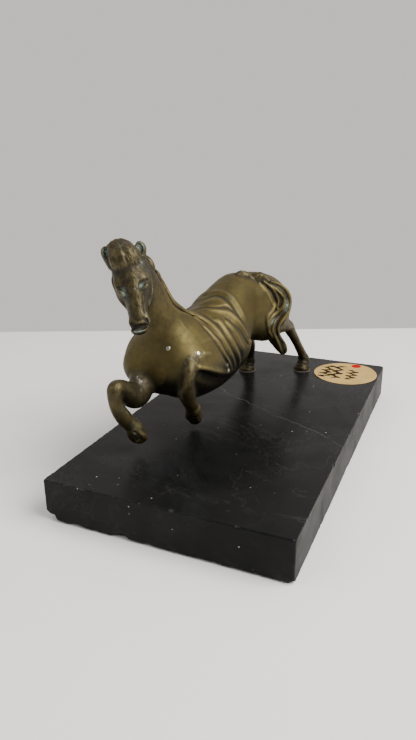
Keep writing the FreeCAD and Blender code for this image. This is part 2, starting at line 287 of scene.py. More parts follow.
def head_frame(az=38, tilt=25, roll=9):
    """The head's axes: down the face, across it and out of it."""
    a, t, r = [np.radians(v) for v in (az, tilt, roll)]
    f = np.array([np.cos(a), np.sin(a), 0])
    z = np.array([0, 0, 1.])
    DOWN = -z*np.cos(t) + f*np.sin(t)
    OUT = f*np.cos(t) + z*np.sin(t)
    ACROSS = np.array([-np.sin(a), np.cos(a), 0])
    return DOWN*np.cos(r) + ACROSS*np.sin(r), ACROSS*np.cos(r) - DOWN*np.sin(r), OUT
DOWN, ACROSS, OUT = head_frame()
POLL = np.array([125.2, -6.2, 90.5])
def face_at(d, s=0.0, n=0.0):
    """A point of the head: from the poll down the face, across it and out of it."""
    return POLL + DOWN*d + ACROSS*s + OUT*n
HEAD_AXES = (DOWN, ACROSS, OUT)

def ease(t):
    """A smooth step from 0 to 1."""
    t = np.clip(t, 0, 1)
    return t*t*(3 - 2*t)

# Skin folds behind the shoulder: depth (a negative one stands out), half-width, then points on the skin.
# The points were traced on the photograph and cast onto the skin by a scratch script, then rounded.
FOLDS = [
    (.70, .75, (97, -2, 60), (95, 2, 59.5), (94.5, 6.5, 56.5), (93.5, 12, 51), (92, 15.5, 47), (90, 18, 41),
     (86.5, 18.5, 35.5), (82.5, 18, 31), (78, 14.5, 23.5)),
    (.55, .75, (93, 5.5, 56), (92, 9.5, 53.5), (89, 13.5, 49), (87, 16, 45), (85.5, 18, 39.5),
     (81, 18.5, 33.5), (78, 17.5, 30), (74.5, 14, 23.5)),
    (1.0, 1.0, (86.5, -5, 56.5), (85, -1, 57), (84, 3, 56), (83.5, 8.5, 53.5), (82.5, 11, 51.5),
     (82, 15, 47), (81, 17, 42.5), (78.5, 18, 37), (74, 17, 30), (70.5, 14, 24)),
    (.55, .9, (78.5, 12.5, 50.5), (76.5, 15.5, 46.5), (75.5, 17, 42.5), (72.5, 17.5, 37), (69.5, 17, 32.5),
     (66, 13.5, 25.5)),
    (.95, 1.0, (85, -6, 56), (81.5, -2.5, 57), (78, -0.5, 57.5), (75, 3.5, 57.5), (71.5, 6, 57),
     (68, 8.5, 56), (67, 10.5, 54.5), (65.5, 12.5, 52.5)),
    (.50, .8, (75, 10, 53.5), (73.5, 12, 51.5), (72, 14, 49.5), (69, 15.5, 46), (66, 16.5, 41),
     (61.5, 16, 35), (59.5, 12.5, 27.5)),
    (1.0, .8, (74.5, -9, 57), (73, -6, 58.5), (69, -4.5, 59.5), (66, -2.5, 60.5), (64.5, 0, 60.5),
     (64.5, 4, 59.5), (65, 8, 57), (65.5, 12, 53), (65, 14, 50), (63.5, 15.5, 46), (61, 16, 40),
     (58, 14, 33)),
    (-.55, .9, (94, -3, 59), (93, 2, 58.5), (92.5, 6, 56), (91, 13, 50), (89, 16, 45.5), (87, 18, 39.5),
     (82, 18, 31.5), (79.5, 15.5, 26)),
    (-.70, 1.3, (90, -4, 58), (88.5, -1.5, 58), (87, 5.5, 55), (86, 9.5, 52.5), (85, 13, 49.5),
     (84, 16, 45.5), (82.5, 17.5, 40.5), (78.5, 18, 34), (75, 16, 27)),
    (-.60, 1.5, (81, 8, 54), (79.5, 11, 52), (79, 14, 48.5), (78, 16.5, 44.5), (76, 18, 39),
     (72.5, 17.5, 32.5), (69, 14.5, 26)),
    (-.50, 1.3, (76.5, 10.5, 52.5), (75, 13.5, 50), (72.5, 16, 44.5), (70, 17.5, 39), (66, 16.5, 33)),
    (-.75, 1.4, (81, 1, 57.5), (77, 4.5, 56.5), (73, 8, 55.5), (70, 10, 54), (68, 13, 51), (66, 15, 48),
     (63.5, 16, 44), (60, 16, 39), (57, 13, 32)),
    (-.60, 1.5, (76, -5, 58), (73, -3, 58.5), (69.5, -0.5, 59.5), (67.5, 2, 59.5), (67.5, 6.5, 57.5),
     (67.5, 9.5, 55.5)),
    (-.60, 1.6, (62.5, -8, 60.5), (61, -2, 62), (60.5, 4, 60.5), (61, 9, 56.5), (61.5, 13, 51.5),
     (60.5, 15.5, 46)),
    (-1.7, 2.6, (59.5, 17, 40), (60.5, 17, 36.5), (61.5, 16, 33), (63.5, 14, 29), (65.5, 11, 25)),
    (-.45, 1.2, (112.5, 15.5, 43), (110, 17, 43.5), (105.5, 17.5, 43.5), (100.5, 18, 43), (96, 19, 42)),
]

MIRROR_Y = -3.0      # the plane that the folds are mirrored in

def folds(clay, w):
    """How far the skin is pushed in by the fan of folds behind the shoulder.

    FOLDS lie on the left side. Each is mirrored to the right, where it fades out towards the spine.
    """
    total = np.zeros([q.stop - q.start for q in w], np.float32)
    for depth, wide, *points in FOLDS:
        for flip in (1, -1):
            rows = np.array(points, float)
            if flip < 0:
                rows[:, 1] = 2*MIRROR_Y - rows[:, 1]
            rows = spline(rows, 3)
            reach = 3*wide
            v = meet(clay.window(rows.min(0) - reach, rows.max(0) + reach), w)
            size = [q.stop - q.start for q in v]
            if min(size) <= 0:
                continue
            near, along = np.full(size, 9.0, np.float32), np.zeros(size, np.float32)
            for i, (a, b) in enumerate(zip(rows[:-1], rows[1:])):
                c = meet(clay.window(np.minimum(a, b) - reach, np.maximum(a, b) + reach), v)
                if min(q.stop - q.start for q in c) <= 0:
                    continue
                x, y, z = clay.coords(c)
                e = b - a
                t = np.clip(((x - a[0])*e[0] + (y - a[1])*e[1] + (z - a[2])*e[2])/(e @ e), 0, 1)
                d = np.sqrt((x - a[0] - t*e[0])**2 + (y - a[1] - t*e[1])**2 + (z - a[2] - t*e[2])**2)
                o = tuple(slice(q.start - r.start, q.stop - r.start) for q, r in zip(c, v))
                along[o] = np.where(d < near[o], (i + t)/(len(rows) - 1), along[o])
                near[o] = np.minimum(near[o], d)
            o = tuple(slice(q.start - r.start, q.stop - r.start) for q, r in zip(v, w))
            here = depth*np.exp(-(near/wide)**2)*ease(along/.16)*ease((1 - along)/.22)
            if flip < 0:
                here = here*ease((2*MIRROR_Y - clay.coords(v)[1])/3)
            total[o] += here
    x, y, z = clay.coords(w)
    return total + 3.2*np.exp(-((x - 76.5)/8.5)**2 - ((y + 14)/9)**2)*ease((z - 44)/8)

def meet(a, b):
    """The part two windows share."""
    return tuple(slice(max(p.start, q.start), min(p.stop, q.stop)) for p, q in zip(a, b))

def torso(clay):
    """Chest, barrel and haunches: an ellipse at each x, from the sections in TORSO."""
    rows = TORSO
    low = np.array([rows[0, 0]-3, -32, 8])
    high = np.array([rows[-1, 0]+3, 26, 76])
    w = clay.window(low, high)
    if any(q.stop <= q.start for q in w):
        return w, None
    x, y, z = clay.coords(w)
    xi = np.clip(x, rows[0, 0], rows[-1, 0])
    fine = spline(rows, 8)
    lo, hi, hw, yc = [np.interp(xi, fine[:, 0], fine[:, i]).astype(np.float32) for i in range(1, 5)]
    zc = (lo + hi)/2
    h = np.maximum((hi - lo)/2, 0.5)
    hw = np.maximum(hw, 0.5)
    u = (y - yc)
    v = (z - zc)
    k0 = np.sqrt((u/hw)**2 + (v/h)**2) + 1e-6
    k1 = np.sqrt((u/hw**2)**2 + (v/h**2)**2) + 1e-6
    d = k0*(k0 - 1)/k1
    d = np.maximum(d, np.maximum(rows[0, 0] - x, x - rows[-1, 0]) + 0*d)
    d = d + folds(clay, w)
    g = np.gradient(d, clay.step)
    d = d/np.clip(np.sqrt(g[0]**2 + g[1]**2 + g[2]**2), 1, 80)
    return w, d.astype(np.float32)

def part(rows, even=False, **kw):
    """A limb from rows of x, y, z, half-width and, where it isn't round, half-thickness."""
    rows = np.array(rows, float)
    shape = limb(rows[:, :3], rows[:, 3], rows[:, 4] if rows.shape[1] > 4 else None, **kw)
    if not even:
        return shape
    def evened(clay):
        w, d = shape(clay)
        return w, None if d is None else soften(d, max(1, int(round(.7/clay.step))))
    return evened

def hoof(clay, top, foot, r=4.9, k=1.0):
    """A hind hoof, widening to its sole."""
    top, foot = np.array(top), np.array(foot)
    clay.add(part([(*(top), 3.3), (*(top*0.55 + foot*0.45), 3.7), (*(foot + [0, 0, 0.4]), r)]), k)

def horse(clay):
    """The whole horse, each shape blended into those before it."""
    w, d = torso(clay)
    if d is not None:
        clay.f[w] = np.minimum(clay.f[w], d)
    add = clay.add
    add(ball((102.0, -3.1, 36.5), (18.0, 22.42, 18.73)), .05)   # breast
    add(ball((108, -11, 34.5), (12.5, 11, 9.5)), 4.0)      # and over the right foreleg
    add(part([
        (108, 18.4, 38.4, 1.3), (103.4, 19.1, 36.2, 1.7), (97.6, 18.3, 33.2, 1.9), (90, 16.9, 29.8, 1.8),
        (82, 15.4, 27.4, 1.4), (75, 14.2, 27.0, .8),
    ]), 2.0)
    clay.carve(part([
        (107, 20.5, 33.5, 1.5), (100, 20.3, 29.4, 2.3), (91, 19.0, 25.4, 2.5), (82, 17.2, 22.8, 1.8),
    ]), 3.5)
    add(ball((25, 5.5, 40), (14, 9.5, 12)), 7.0)       # left thigh
    clay.carve(ball((114, 0, 12.4), (14, 16, 10)), 4.0)
    clay.carve(ball((48.5, 13, 27), (11, 9, 9)), 3.0)      # the flank lifts in front of the thigh
    add(part(NECK, per=8, even=True), 7.0)
    head(clay)
    mane(clay)
    add(part(LEFT_FORE, even=True), 2.6)
    add(part(RIGHT_FORE, even=True), 2.0)
    add(part(LEFT_HIND, even=True), 3.0)
    add(part(RIGHT_HIND, even=True), 3.0)
    for top, foot in HOOVES:
        hoof(clay, top, foot)
    hooves_front(clay)
    tail(clay)
    roughen(clay)

def roughen(clay):
    """The slight lumpiness of a hand-finished casting."""
    rng = np.random.default_rng(2)
    x, y, z = clay.coords((slice(None),)*3)
    total = np.zeros(clay.f.shape, np.float32)
    for size, amount in ((7.0, .016), (3.2, .006)):
        for _ in range(6):
            k = rng.normal(size=3)
            k *= 2*np.pi/size/np.linalg.norm(k)
            p = rng.uniform(0, 6.28)
            # sin(a + b + c) from the three axes' own sines
            a, b, c = x*k[0] + p, y*k[1], z*k[2]
            sab, cab = np.sin(a)*np.cos(b) + np.cos(a)*np.sin(b), np.cos(a)*np.cos(b) - np.sin(a)*np.sin(b)
            total += (amount*(sab*np.cos(c) + cab*np.sin(c))).astype(np.float32)
    clay.f += total

def streaks(centre, radii, turn, count, slant, depth, bend=0.0, margin=3.0):
    """An ellipsoid of hair: soft grooves run across its face along a slanted, slightly bent direction."""
    base = ball(centre, radii, turn, margin)
    def shape(clay):
        w, d = base(clay)
        if d is None:
            return w, d
        x, y, z = clay.coords(w)
        x, y, z = x - centre[0], y - centre[1], z - centre[2]
        a = (x*turn[0][0] + y*turn[0][1] + z*turn[0][2])/radii[0]
        b = (x*turn[1][0] + y*turn[1][1] + z*turn[1][2])/radii[1]
        v = b*np.cos(slant) - a*np.sin(slant) + bend*(a*np.cos(slant) + b*np.sin(slant))**2
        return w, (d - depth*(np.abs(np.cos(v*count*np.pi/2))**.7 - .6)).astype(np.float32)
    return shape

def face_part(rows, **kw):
    """A limb on the head; each row starts with the three values of face_at."""
    return part([(*face_at(*row[:3]), *row[3:]) for row in rows], **kw)

def head(clay):
    """Skull, nose ridge, eyes, cheeks, nostrils, lips, forelock and ears."""
    add, carve = clay.add, clay.carve
    add(face_part([
        (-1.5, -1.6, -4.0, 5.4, 5.0), (4, -.8, -2.8, 6.9, 7.0), (10, 0, -3.0, 7.5, 8.0),
        (15.5, .4, -3.4, 7.0, 8.2), (19.5, .6, -3.0, 5.7, 7.4), (23.5, .2, -1.9, 4.5, 5.9),
        (27.5, .2, -1.1, 4.2, 4.8), (30.3, -.1, -.7, 4.2, 4.0), (31.6, -.2, -.7, 3.6, 3.4),
    ], side=ACROSS), 3.0)
    # nose ridge
    add(face_part([
        (12, .3, 3.3, 1.8, 1.2), (17, .6, 3.1, 1.9, 1.2), (22, .8, 2.6, 1.8, 1.4), (28, .8, 1.9, 2.2, 1.4),
    ], side=ACROSS), 2.2)
    for m in (-1, 1):
        add(ball(face_at(14.0, m*4.4, -6.5), (7.0, 3.3, 6.6), HEAD_AXES), 2.0)            # cheek
        add(ball(face_at(13.4, m*5.0, 1.2), (2.6, 2.2, 1.9), HEAD_AXES), 2.6)             # brow
        eye, (short, wide, _) = EYE_AT[m], EYES[m]

        def on(u, v):
            """A point beside the eye, on the curved skin of the brow."""
            bulge = .085*(u + 1.0)**2 - .2
            return np.array(face_at(*eye)) + wide*u*m + short*v - OUT*bulge

        # socket
        carve(ball(face_at(eye[0], eye[1], 4.7), (1.35, 2.7, 1.5), EYES[m]), .6)
        # eyeball
        add(ball(face_at(eye[0] + .1, eye[1], 3.1), (1.05, 2.1, 1.25), EYES[m]), .12)
        # lid
        carve(part([
            (*on(-2.8, .2), .3), (*on(-1.6, -1.5), .5), (*on(.2, -2.0), .6), (*on(2.2, -1.6), .55),
            (*on(3.6, -.8), .35),
        ]), .35)
        carve(part([
            (*on(-2.4, .8), .3), (*on(-.8, 1.7), .4), (*on(1.2, 1.8), .4), (*on(2.8, 1.0), .3),
        ]), .35)
        carve(face_part([
            (19.8, m*3.6 + .3, 5.0, .8), (22.5, m*3.4 + .3, 4.4, 1.1), (26, m*3.2 + .3, 3.8, .95),
            (28.2, m*3.3 + .2, 3.5, .5),
        ]), .9)
        add(ball(face_at(30.3, m*3.0 + .1, 1.3), (2.2, 1.4, 1.9), HEAD_AXES), 1.0)        # nostril
        carve(ball(face_at(30.9, m*3.2 - .2, 3.2), (1.0, .7, 1.2), HEAD_AXES), .35)
        tuck = .9 if m < 0 else 0
        # cheek edge
        add(face_part([
            (7.5, m*7.2, -4.5, .5), (11, m*7.9, -3.6, .6), (15.5, m*(8.0 - tuck), -3.4, .65),
            (19.5, m*(7.0 - tuck), -3.4, .6), (23.5, m*(5.0 - tuck), -2.6, .5),
        ]), .5)
    add(ball(face_at(33.5, -.6, -.6), (2.2, 3.6, 3.5), HEAD_AXES), .6)                   # lower lip
    add(ball(face_at(31.3, -.3, 1.6), (1.3, 3.2, 1.7), HEAD_AXES), .9)                    # upper lip
    carve(face_part([
        (31.8, -4.7, -1.6, .5), (32.7, -3.4, 1.0, .9), (33.2, -.5, 2.8, 1.5), (32.7, 2.5, 1.0, .9),
        (31.6, 4.3, -1.4, .5),
    ]), .3)
    forelock(clay)
    for m, c, wide, up in ((-1, -8.5, 1.8, 1.2), (1, 5.9, 2.4, .4)):
        add(face_part([
            (4.8, c - m*1.4, -2.8, 1.6, 1.5), (2.0 - up, c - m*.2, -2.2, wide, 2.0),
            (-.4 - up, c + m*.2, -1.6, wide + .1, 2.0), (-1.7 - up, c, -1.2, wide - .7, 1.6),
        ], side=ACROSS), .7)
        carve(ball(face_at(.8 - up, c - m*.2, .8), (3.1, wide*.62, 1.8), HEAD_AXES), .5)

EYE_AT = {-1: (18.0, -5.0, 4.0), 1: (17.0, 4.9, 4.0)}

def turned(degrees):
    """The head's axes, the first two turned in the plane of the face."""
    a = np.radians(degrees)
    return DOWN*np.cos(a) - ACROSS*np.sin(a), ACROSS*np.cos(a) + DOWN*np.sin(a), OUT

EYES = {-1: turned(46), 1: turned(-33)}

def forelock(clay):
    """Two masses of hair on the brow, and thin locks across them."""
    clay.add(streaks(np.array(face_at(3.4, -1.0, 2.0)), np.array([
        6.4, 6.8, 4.3,
    ]), HEAD_AXES, 5.0, .62, .24, -.35), .6)
    clay.add(streaks(np.array(face_at(-1.2, -2.6, -.8)), np.array([
        4.8, 5.6, 4.6,
    ]), HEAD_AXES, 4.6, .85, .24, -.3), .9)
    rng = np.random.default_rng(6)
    for i in range(9):
        q = i/8
        start = np.array([-4.6 + 3.6*abs(q - .35), -7.0 + 8.4*q])
        end = np.array([7.0 + 2.5*np.sin(np.pi*q**.8), -6.4 + 11.2*q])
        t = np.linspace(0, 1, 7)[:, None]
        way = start + (end - start)*t + np.array([0, .9])*np.sin(np.pi*t)*(.3 + rng.uniform(-.5, .5))
        on = 1 - ((way[:, 0] - 3.2)/6.6)**2 - ((way[:, 1] + 1.0)/7.0)**2
        way = np.c_[way, 1.6 + 4.3*np.sqrt(np.clip(on, .02, 1)) + rng.uniform(-.15, .25)]
        size = rng.uniform(.5, .85)*np.sin(np.pi*(.12 + .8*t[:, 0]))
        clay.add(face_part([(*w, r) for w, r in zip(way, size)]), .8)

def mane(clay):
    """The crest of the neck, the mane's edge with its groove, and three short locks."""
    add = clay.add
    crest = [
        (87, -4, 55.2, 1.2, 1.6), (92, -4.2, 57.6, 1.4, 1.8), (97.5, -4.6, 61.5, 1.6, 2.1),
        (102.5, -5.2, 67, 1.8, 2.4), (107, -5.8, 73, 2.0, 2.7), (111.5, -6.4, 79, 2.2, 2.9),
        (116, -6.8, 85, 2.4, 3.1), (119, -7.2, 89, 2.4, 3.2),
    ]
    add(part(crest), 1.0)
    # the mane's front edge, traced in the same way as FOLDS and smoothed
    edge = np.array([
        (110.4, -2.4, 80.4, .35), (108.4, -.8, 75.6, .65), (106.9, .8, 71.0, .8), (105.6, 2.7, 66.8, .8),
        (102.4, 3.4, 63.7, .8), (97.6, 2.9, 60.7, .75), (93.5, 3.4, 58.5, .7), (89.0, 5.3, 55.8, .7),
        (86.6, 8.6, 53.4, .4),
    ])
    clay.carve(part(edge + (1.5, .9, -.7, -.15)), .5)
    add(part(edge), .5)
    for x, z in [(104.5, 71.5), (109.0, 78.0), (113.5, 84.2)]:
        add(part([
            (x + 1.2, -5.5, z + 2.6, 1.3), (x + .4, -3.6, z + .6, 1.7), (x - .2, -2.4, z - 2.2, 1.5),
            (x - .2, -2.4, z - 5.0, .7),
        ]), .35)

def ring(centre, axis, radii, r, count=14):
    """Closed band round a limb: centre, axis, the two half-widths, and its own thickness."""
    axis = np.array(axis, float)/np.linalg.norm(axis)
    a = np.cross(axis, (0, 1, 0))
    a /= np.linalg.norm(a)
    b = np.cross(axis, a)
    t = np.linspace(0, 2*np.pi, count + 1)
    rows = np.array(centre)[None] + radii[0]*np.cos(t)[:, None]*a + radii[1]*np.sin(t)[:, None]*b
    return limb(rows, r, per=2)

def hooves_front(clay):
    """Fetlocks and hooves of the forelegs, and the heels of the hind ones."""
    add, carve = clay.add, clay.carve
    add(ball((131.6, -1.4, 13.4), (3.7, 3.6, 3.7)), 1.2)           # right fetlock
    add(part([(131.8, 1.4, 11.6, 1.1), (129.8, 2.2, 9.4, 1.3), (128.0, 1.8, 7.4, 1.2)]), .9)
    add(part([(133.4, -2.6, 11.0, 1.2), (132.2, -3.0, 8.8, 1.4), (130.8, -2.6, 6.8, 1.2)]), .9)
    add(ball((128.9, -1.4, 7.9), (3.8, 3.7, 3.3)), .8)
    carve(part([
        (133.9, .8, 12.6, .35), (132.4, 1.9, 10.2, .4), (131.9, .2, 8.0, .45), (132.8, -1.4, 6.2, .3),
    ]), .8)
    carve(part([(132.8, -1.0, 5.4, .5), (130, -.9, 4.3, .6), (127, -1.4, 4.8, .5)]), .8)
    carve(part([(134.6, -4.6, 12.6, .4), (133.8, -1.6, 12.2, .5), (132.4, 1.4, 12.6, .4)]), .4)
    add(ball((98.2, 8.2, 12.2), (3.4, 3.1, 3.3)), 1.0)             # left fetlock
    add(part([(98.6, 10.2, 10.2, 1.1), (96.6, 9.6, 7.2, 1.4), (94.6, 8.0, 5.0, 1.3)]), .9)
    add(part([(98.4, 4.6, 9.6, 1.1), (96.8, 3.2, 7.0, 1.3), (94.8, 2.4, 5.0, 1.2)]), .9)
    carve(part([(99.4, 10.8, 9.4, .4), (98.2, 7.4, 8.6, .55), (97.8, 4.4, 8.8, .4)]), .4)
    carve(part([(95.6, 7.8, 4.2, .6), (93.2, 5.0, 2.6, .7), (90.8, 3.0, 3.6, .5)]), .5)
    for top, foot in HOOVES:                              # heels and a groove round the hind hooves
        top, foot = np.array(top), np.array(foot)
        carve(ring(top*.50 + foot*.50, foot - top, (4.1, 4.1), .4), .5)
        add(ball(top*.86 + foot*.14 + np.array([-1.0, 0, 0]), (3.1, 3.2, 2.4)), 1.0)

def strands(clay, rows, side, count, size, twist, out=.8, k=.35, per=3, sway=.2):
    """Locks of hair laid along a rounded tube, slowly winding round it."""
    rows = spline(rows, per)
    middle, wide, thick = rows[:, :3], rows[:, 3], rows[:, 4]
    tangent = np.gradient(middle, axis=0)
    tangent /= np.linalg.norm(tangent, axis=1)[:, None]
    s = np.array(side, float)[None] - tangent*(tangent @ np.array(side, float))[:, None]
    s /= np.linalg.norm(s, axis=1)[:, None]
    n = np.cross(tangent, s)
    t = np.linspace(0, 1, len(middle))
    for i in range(count):
        a = 2*np.pi*i/count + twist*t + sway*np.sin(6.5*t + 2.1*i)
        q = middle + out*(s*(wide*np.cos(a))[:, None] + n*(thick*np.sin(a))[:, None])
        r = size*np.sqrt(wide*thick)*(1 - .35*np.abs(2*t - 1)**3)*(1 + .25*np.sin(9*t + 1.7*i))
        clay.add(limb(q, r, per=2), k)

# The broad locks on the near face of the tail, traced and cast onto it in the same way as FOLDS.
TAIL_LOCKS = [
    [(30, 11.5, 63), (27.5, 15, 61.5), (25, 18, 58.5), (24, 20, 54.5), (24, 20.5, 50), (26, 20, 44.5),
     (30, 17.5, 40.5)],
    [(30.5, 11, 61.5), (29, 15.5, 58), (26.5, 18, 53.5), (27.5, 18, 49.5), (29.5, 15.5, 46.5),
     (33.5, 14, 43.5), (34.5, 13.5, 40), (33.5, 13, 36), (32, 15, 32)],
    [(32.5, 8.5, 61.5), (31, 11.5, 56.5), (29.5, 13.5, 51.5), (31.5, 14, 48), (35.5, 13, 44.5),
     (35.5, 13, 40.5), (34, 12.5, 36)],
    [(34.5, 6.5, 63), (33, 9.5, 58.5), (31.5, 12, 53.5), (31, 13.5, 50.5)],
    [(32.5, 8.5, 63), (30.5, 12.5, 59.5), (29, 14.5, 55.5), (28.5, 15.5, 52), (29.5, 15.5, 48.5)],
    [(26, 19, 49.5), (28.5, 16.5, 44.5), (31.5, 15, 40.5), (32, 14.5, 36.5), (31, 16.5, 31.5),
     (29, 17.5, 26.5), (26, 17.5, 22)],
    [(26, 20, 46), (29, 18, 41.5), (30.5, 17, 38), (30, 17.5, 33.5), (26.5, 19, 28.5), (24.5, 19.5, 24)],
]

def tail(clay):
    """A tube of hair with strands wound round it and the broad locks on its near face."""
    rows = np.array(TAIL)
    # moved along the tail's wide side, then widened or narrowed from point to point
    rows[:, :2] += np.array([
        0, 0, 0, .3, .8, 1.0, .8, 1.0, 1.7, 2.2, .6, .2,
    ])[:, None]*np.array(TAIL_SIDE[:2])
    rows[:, 3] *= np.array([1, 1, 1, 1, 1.12, 1.15, 1.08, 1.1, .96, .82, 1.08, 1.15])
    slim = rows.copy()
    slim[:, 3:] *= .95
    clay.add(part(slim, side=TAIL_SIDE), .8)
    strands(clay, rows, TAIL_SIDE, 8, .30, 3.0, k=.5, sway=.5, out=.72)
    for lock in TAIL_LOCKS:
        size = 0.98*np.sin(np.pi*(.16 + .68*np.linspace(0, 1, len(lock))))
        clay.add(part(np.c_[lock, size]), .75)

def build(low, high, step):
    """The horse inside a box, on a grid of this step."""
    c = Clay(low, high, step)
    horse(c)
    return c

# ---------------------------------------------------------------- meshes

def to_row(points):
    """Horse frame in mm to row frame in metres."""
    c, s = math.cos(HORSE_TURN), math.sin(HORSE_TURN)
    turn = np.array([[c, -s, 0], [s, c, 0], [0, 0, 1.0]])
    return (points @ turn.T + HORSE_PLACE)*MM

def to_row_frame(points):
    """Row frame in mm to row frame in metres."""
    return np.asarray(points, float)*MM

def new_mesh(name, verts, faces, marks=None, smooth=True):
    """An object of these faces (in metres), with one float attribute for each mark."""
    mesh = bpy.data.meshes.new(name)
    mesh.from_pydata(np.asarray(verts).tolist(), [], [list(map(int, f)) for f in faces])
    mesh.update()
    for key, values in (marks or {}).items():
        layer = mesh.attributes.new(key, "FLOAT", "POINT")
        layer.data.foreach_set("value", np.asarray(values, np.float32))
    if smooth:
        mesh.shade_smooth()
    piece = bpy.data.objects.new(name, mesh)
    bpy.context.scene.collection.objects.link(piece)
    return piece

def settle(clay, f, verts, rounds=2):
    """Slides the vertices onto the surface, which takes out the grid's steps."""
    for _ in range(rounds):
        value, slope = sample(clay, f, verts, slope=True)
        size = np.maximum((slope**2).sum(1), 0.15)
        move = slope*(value/size)[:, None]
        length = np.linalg.norm(move, axis=1)[:, None]
        verts = verts - move*np.minimum(1, 0.45*clay.step/np.maximum(length, 1e-9))
    return verts

def sample(clay, f, points, slope=False):
    """Field values at points, by trilinear interpolation."""
    q = (points - clay.low)/clay.step
    i = np.clip(np.floor(q).astype(int), 0, np.array(f.shape) - 2)
    t = np.clip(q - i, 0, 1)
    v = {}
    for a in (0, 1):
        for b in (0, 1):
            for c in (0, 1):
                v[a, b, c] = f[i[:, 0] + a, i[:, 1] + b, i[:, 2] + c].astype(float)
    def mean(axis_value):
        total = 0
        for (a, b, c), value in v.items():
            w = 1.0
            for axis, corner in enumerate((a, b, c)):
                if axis_value and axis_value[0] == axis:
                    w = w*(1 if corner else -1)
                else:
                    w = w*(t[:, axis] if corner else 1 - t[:, axis])
            total = total + w*value
        return total
    value = mean(None)
    if not slope:
        return value
    return value, np.stack([mean((axis,)) for axis in range(3)], 1)/clay.step

# ---------------------------------------------------------------- where each casting ends

def inflate(rows, by):
    """The rows of a limb, made thicker."""
    rows = np.array(rows, float)
    rows[:, 3:] += by
    return rows

def beyond(clay, point, normal):
    """Negative on the far side of a plane."""
    x, y, z = clay.coords((slice(None),)*3)
    n = np.array(normal)/np.linalg.norm(normal)
    return -((x - point[0])*n[0] + (y - point[1])*n[1] + (z - point[2])*n[2])

def zone(clay, shape, plane=None):
    """Negative inside a shape, and beyond a plane where one is given."""
    g = np.full(clay.f.shape, 9.0, np.float32)
    w, d = shape(clay)
    if d is not None:
        g[w] = d
    return g if plane is None else np.maximum(g, beyond(clay, *plane)).astype(np.float32)

ZONES = {
    "head_and_neck": lambda c: beyond(c, (102, -2.5, 54), (0.35, -0.05, 0.935)).astype(np.float32),
    "left_foreleg": lambda c: zone(c, part(inflate(LEFT_FORE, 1.2))),
    "right_foreleg": lambda c: zone(c, part(inflate(RIGHT_FORE, 1.2)), ((112, -6, 26), (1, 0, -0.12))),
    "left_hind_leg": lambda c: zone(c, part(inflate(LEFT_HIND, 7)), ((13, 10.5, 35), (-0.9, 0, -0.35))),
    "right_hind_leg": lambda c: zone(c, part(inflate(RIGHT_HIND, 7)), ((20, -14, 29), (-0.7, -0.1, -0.7))),
    "tail": lambda c: zone(c, part(inflate(TAIL, 0.7), side=TAIL_SIDE)),
}
# piece: (CAD node, its box in the horse's frame, grid step, slot)
CASTINGS = {
    "torso_casting": ("torso_shell", (-4, -33, 10), (130, 26, 76), 0.46, "bronze"),
    "head_and_neck_casting": ("head_and_neck", (84, -24, 44), (146, 22, 103), 0.34, "bronze_dark"),
    "left_foreleg_casting": ("left_foreleg", (86, -3, -1), (121, 24, 50), 0.34, "bronze_dark"),
    "right_foreleg_casting": ("right_foreleg", (96, -18, 0), (150, 10, 43), 0.38, "bronze_dark"),
    "left_hind_leg_casting": ("left_hind_leg", (-24, 2, -0.6), (24, 22, 46), 0.34, "bronze_dark"),
    "right_hind_leg_casting": ("right_hind_leg", (-6, -26, -0.6), (32, -3, 40), 0.34, "bronze_dark"),
    "tail_casting": ("tail", (14, -10, 16), (50, 25, 74), 0.32, "bronze_dark"),
}

# Green corrosion: centre, reach, amount. Many of these places, and of those in the two tables after it,
# come from the same scratch script as FOLDS, changed by hand since.
VERDIGRIS = [
    (face_at(-1.2, 5.9, .4), 1.9, 1.2), (face_at(1.6, 5.6, .6), 1.3, .8),
    (face_at(-1.4, -8.8, .4), 1.9, 1.0), (face_at(3.0, -9.4, -1.0), 1.5, .5),
    (face_at(16.6, 3.6, 3.9), .9, 1.1), (face_at(17.4, 5.6, 3.2), .9, .45),
    (face_at(17.0, -4.4, 3.6), 1.1, .9), (face_at(19.4, -4.4, 3.4), 1.2, .9),
    (face_at(34.3, -2.2, 2.4), .9, 3.0), (face_at(34.4, -.8, 2.8), .9, 3.0),
    (face_at(34.3, .6, 2.6), .8, 2.6), (face_at(31.0, 4.2, 1.8), .9, .9), (face_at(28.6, 3.5, 3.0), .7, .6),
    (face_at(22.5, -4.6, 1.6), 1.5, .45), (face_at(26.0, -4.4, 1.0), 1.5, .4),
    (face_at(6.4, 5.2, 2.0), 1.5, .6), (face_at(-1.0, -1.2, 5.6), 1.2, .35),
    (face_at(22.5, 6.0, -1.5), 1.0, .5), ((132.2, -.6, 12.2), 2.4, .8), ((134.4, .6, 16.0), 1.6, .35),
    ((139.5, -1.2, 26.0), 1.6, .35), ((24.6, 19.5, 49.4), 2.6, .9), ((28.0, 12.0, 58.0), 2.4, .35),
    ((27.5, 17.5, 33.0), 2.2, .5), ((33.0, 14.6, 42.0), 2.2, .5), ((61.5, 6.0, 60.0), 2.0, .3),
    ((99.0, 8.4, 13.0), 1.8, .35), ((82.5, 17.9, 29.0), 1.1, 1.0), ((84.0, 18.4, 32.6), .8, .6),
    ((5.0, 12.0, 33.5), 1.8, .3), ((126.0, -8.0, 33.5), 1.8, .35), ((-12.0, 14.5, 9.0), 1.6, .5),
]
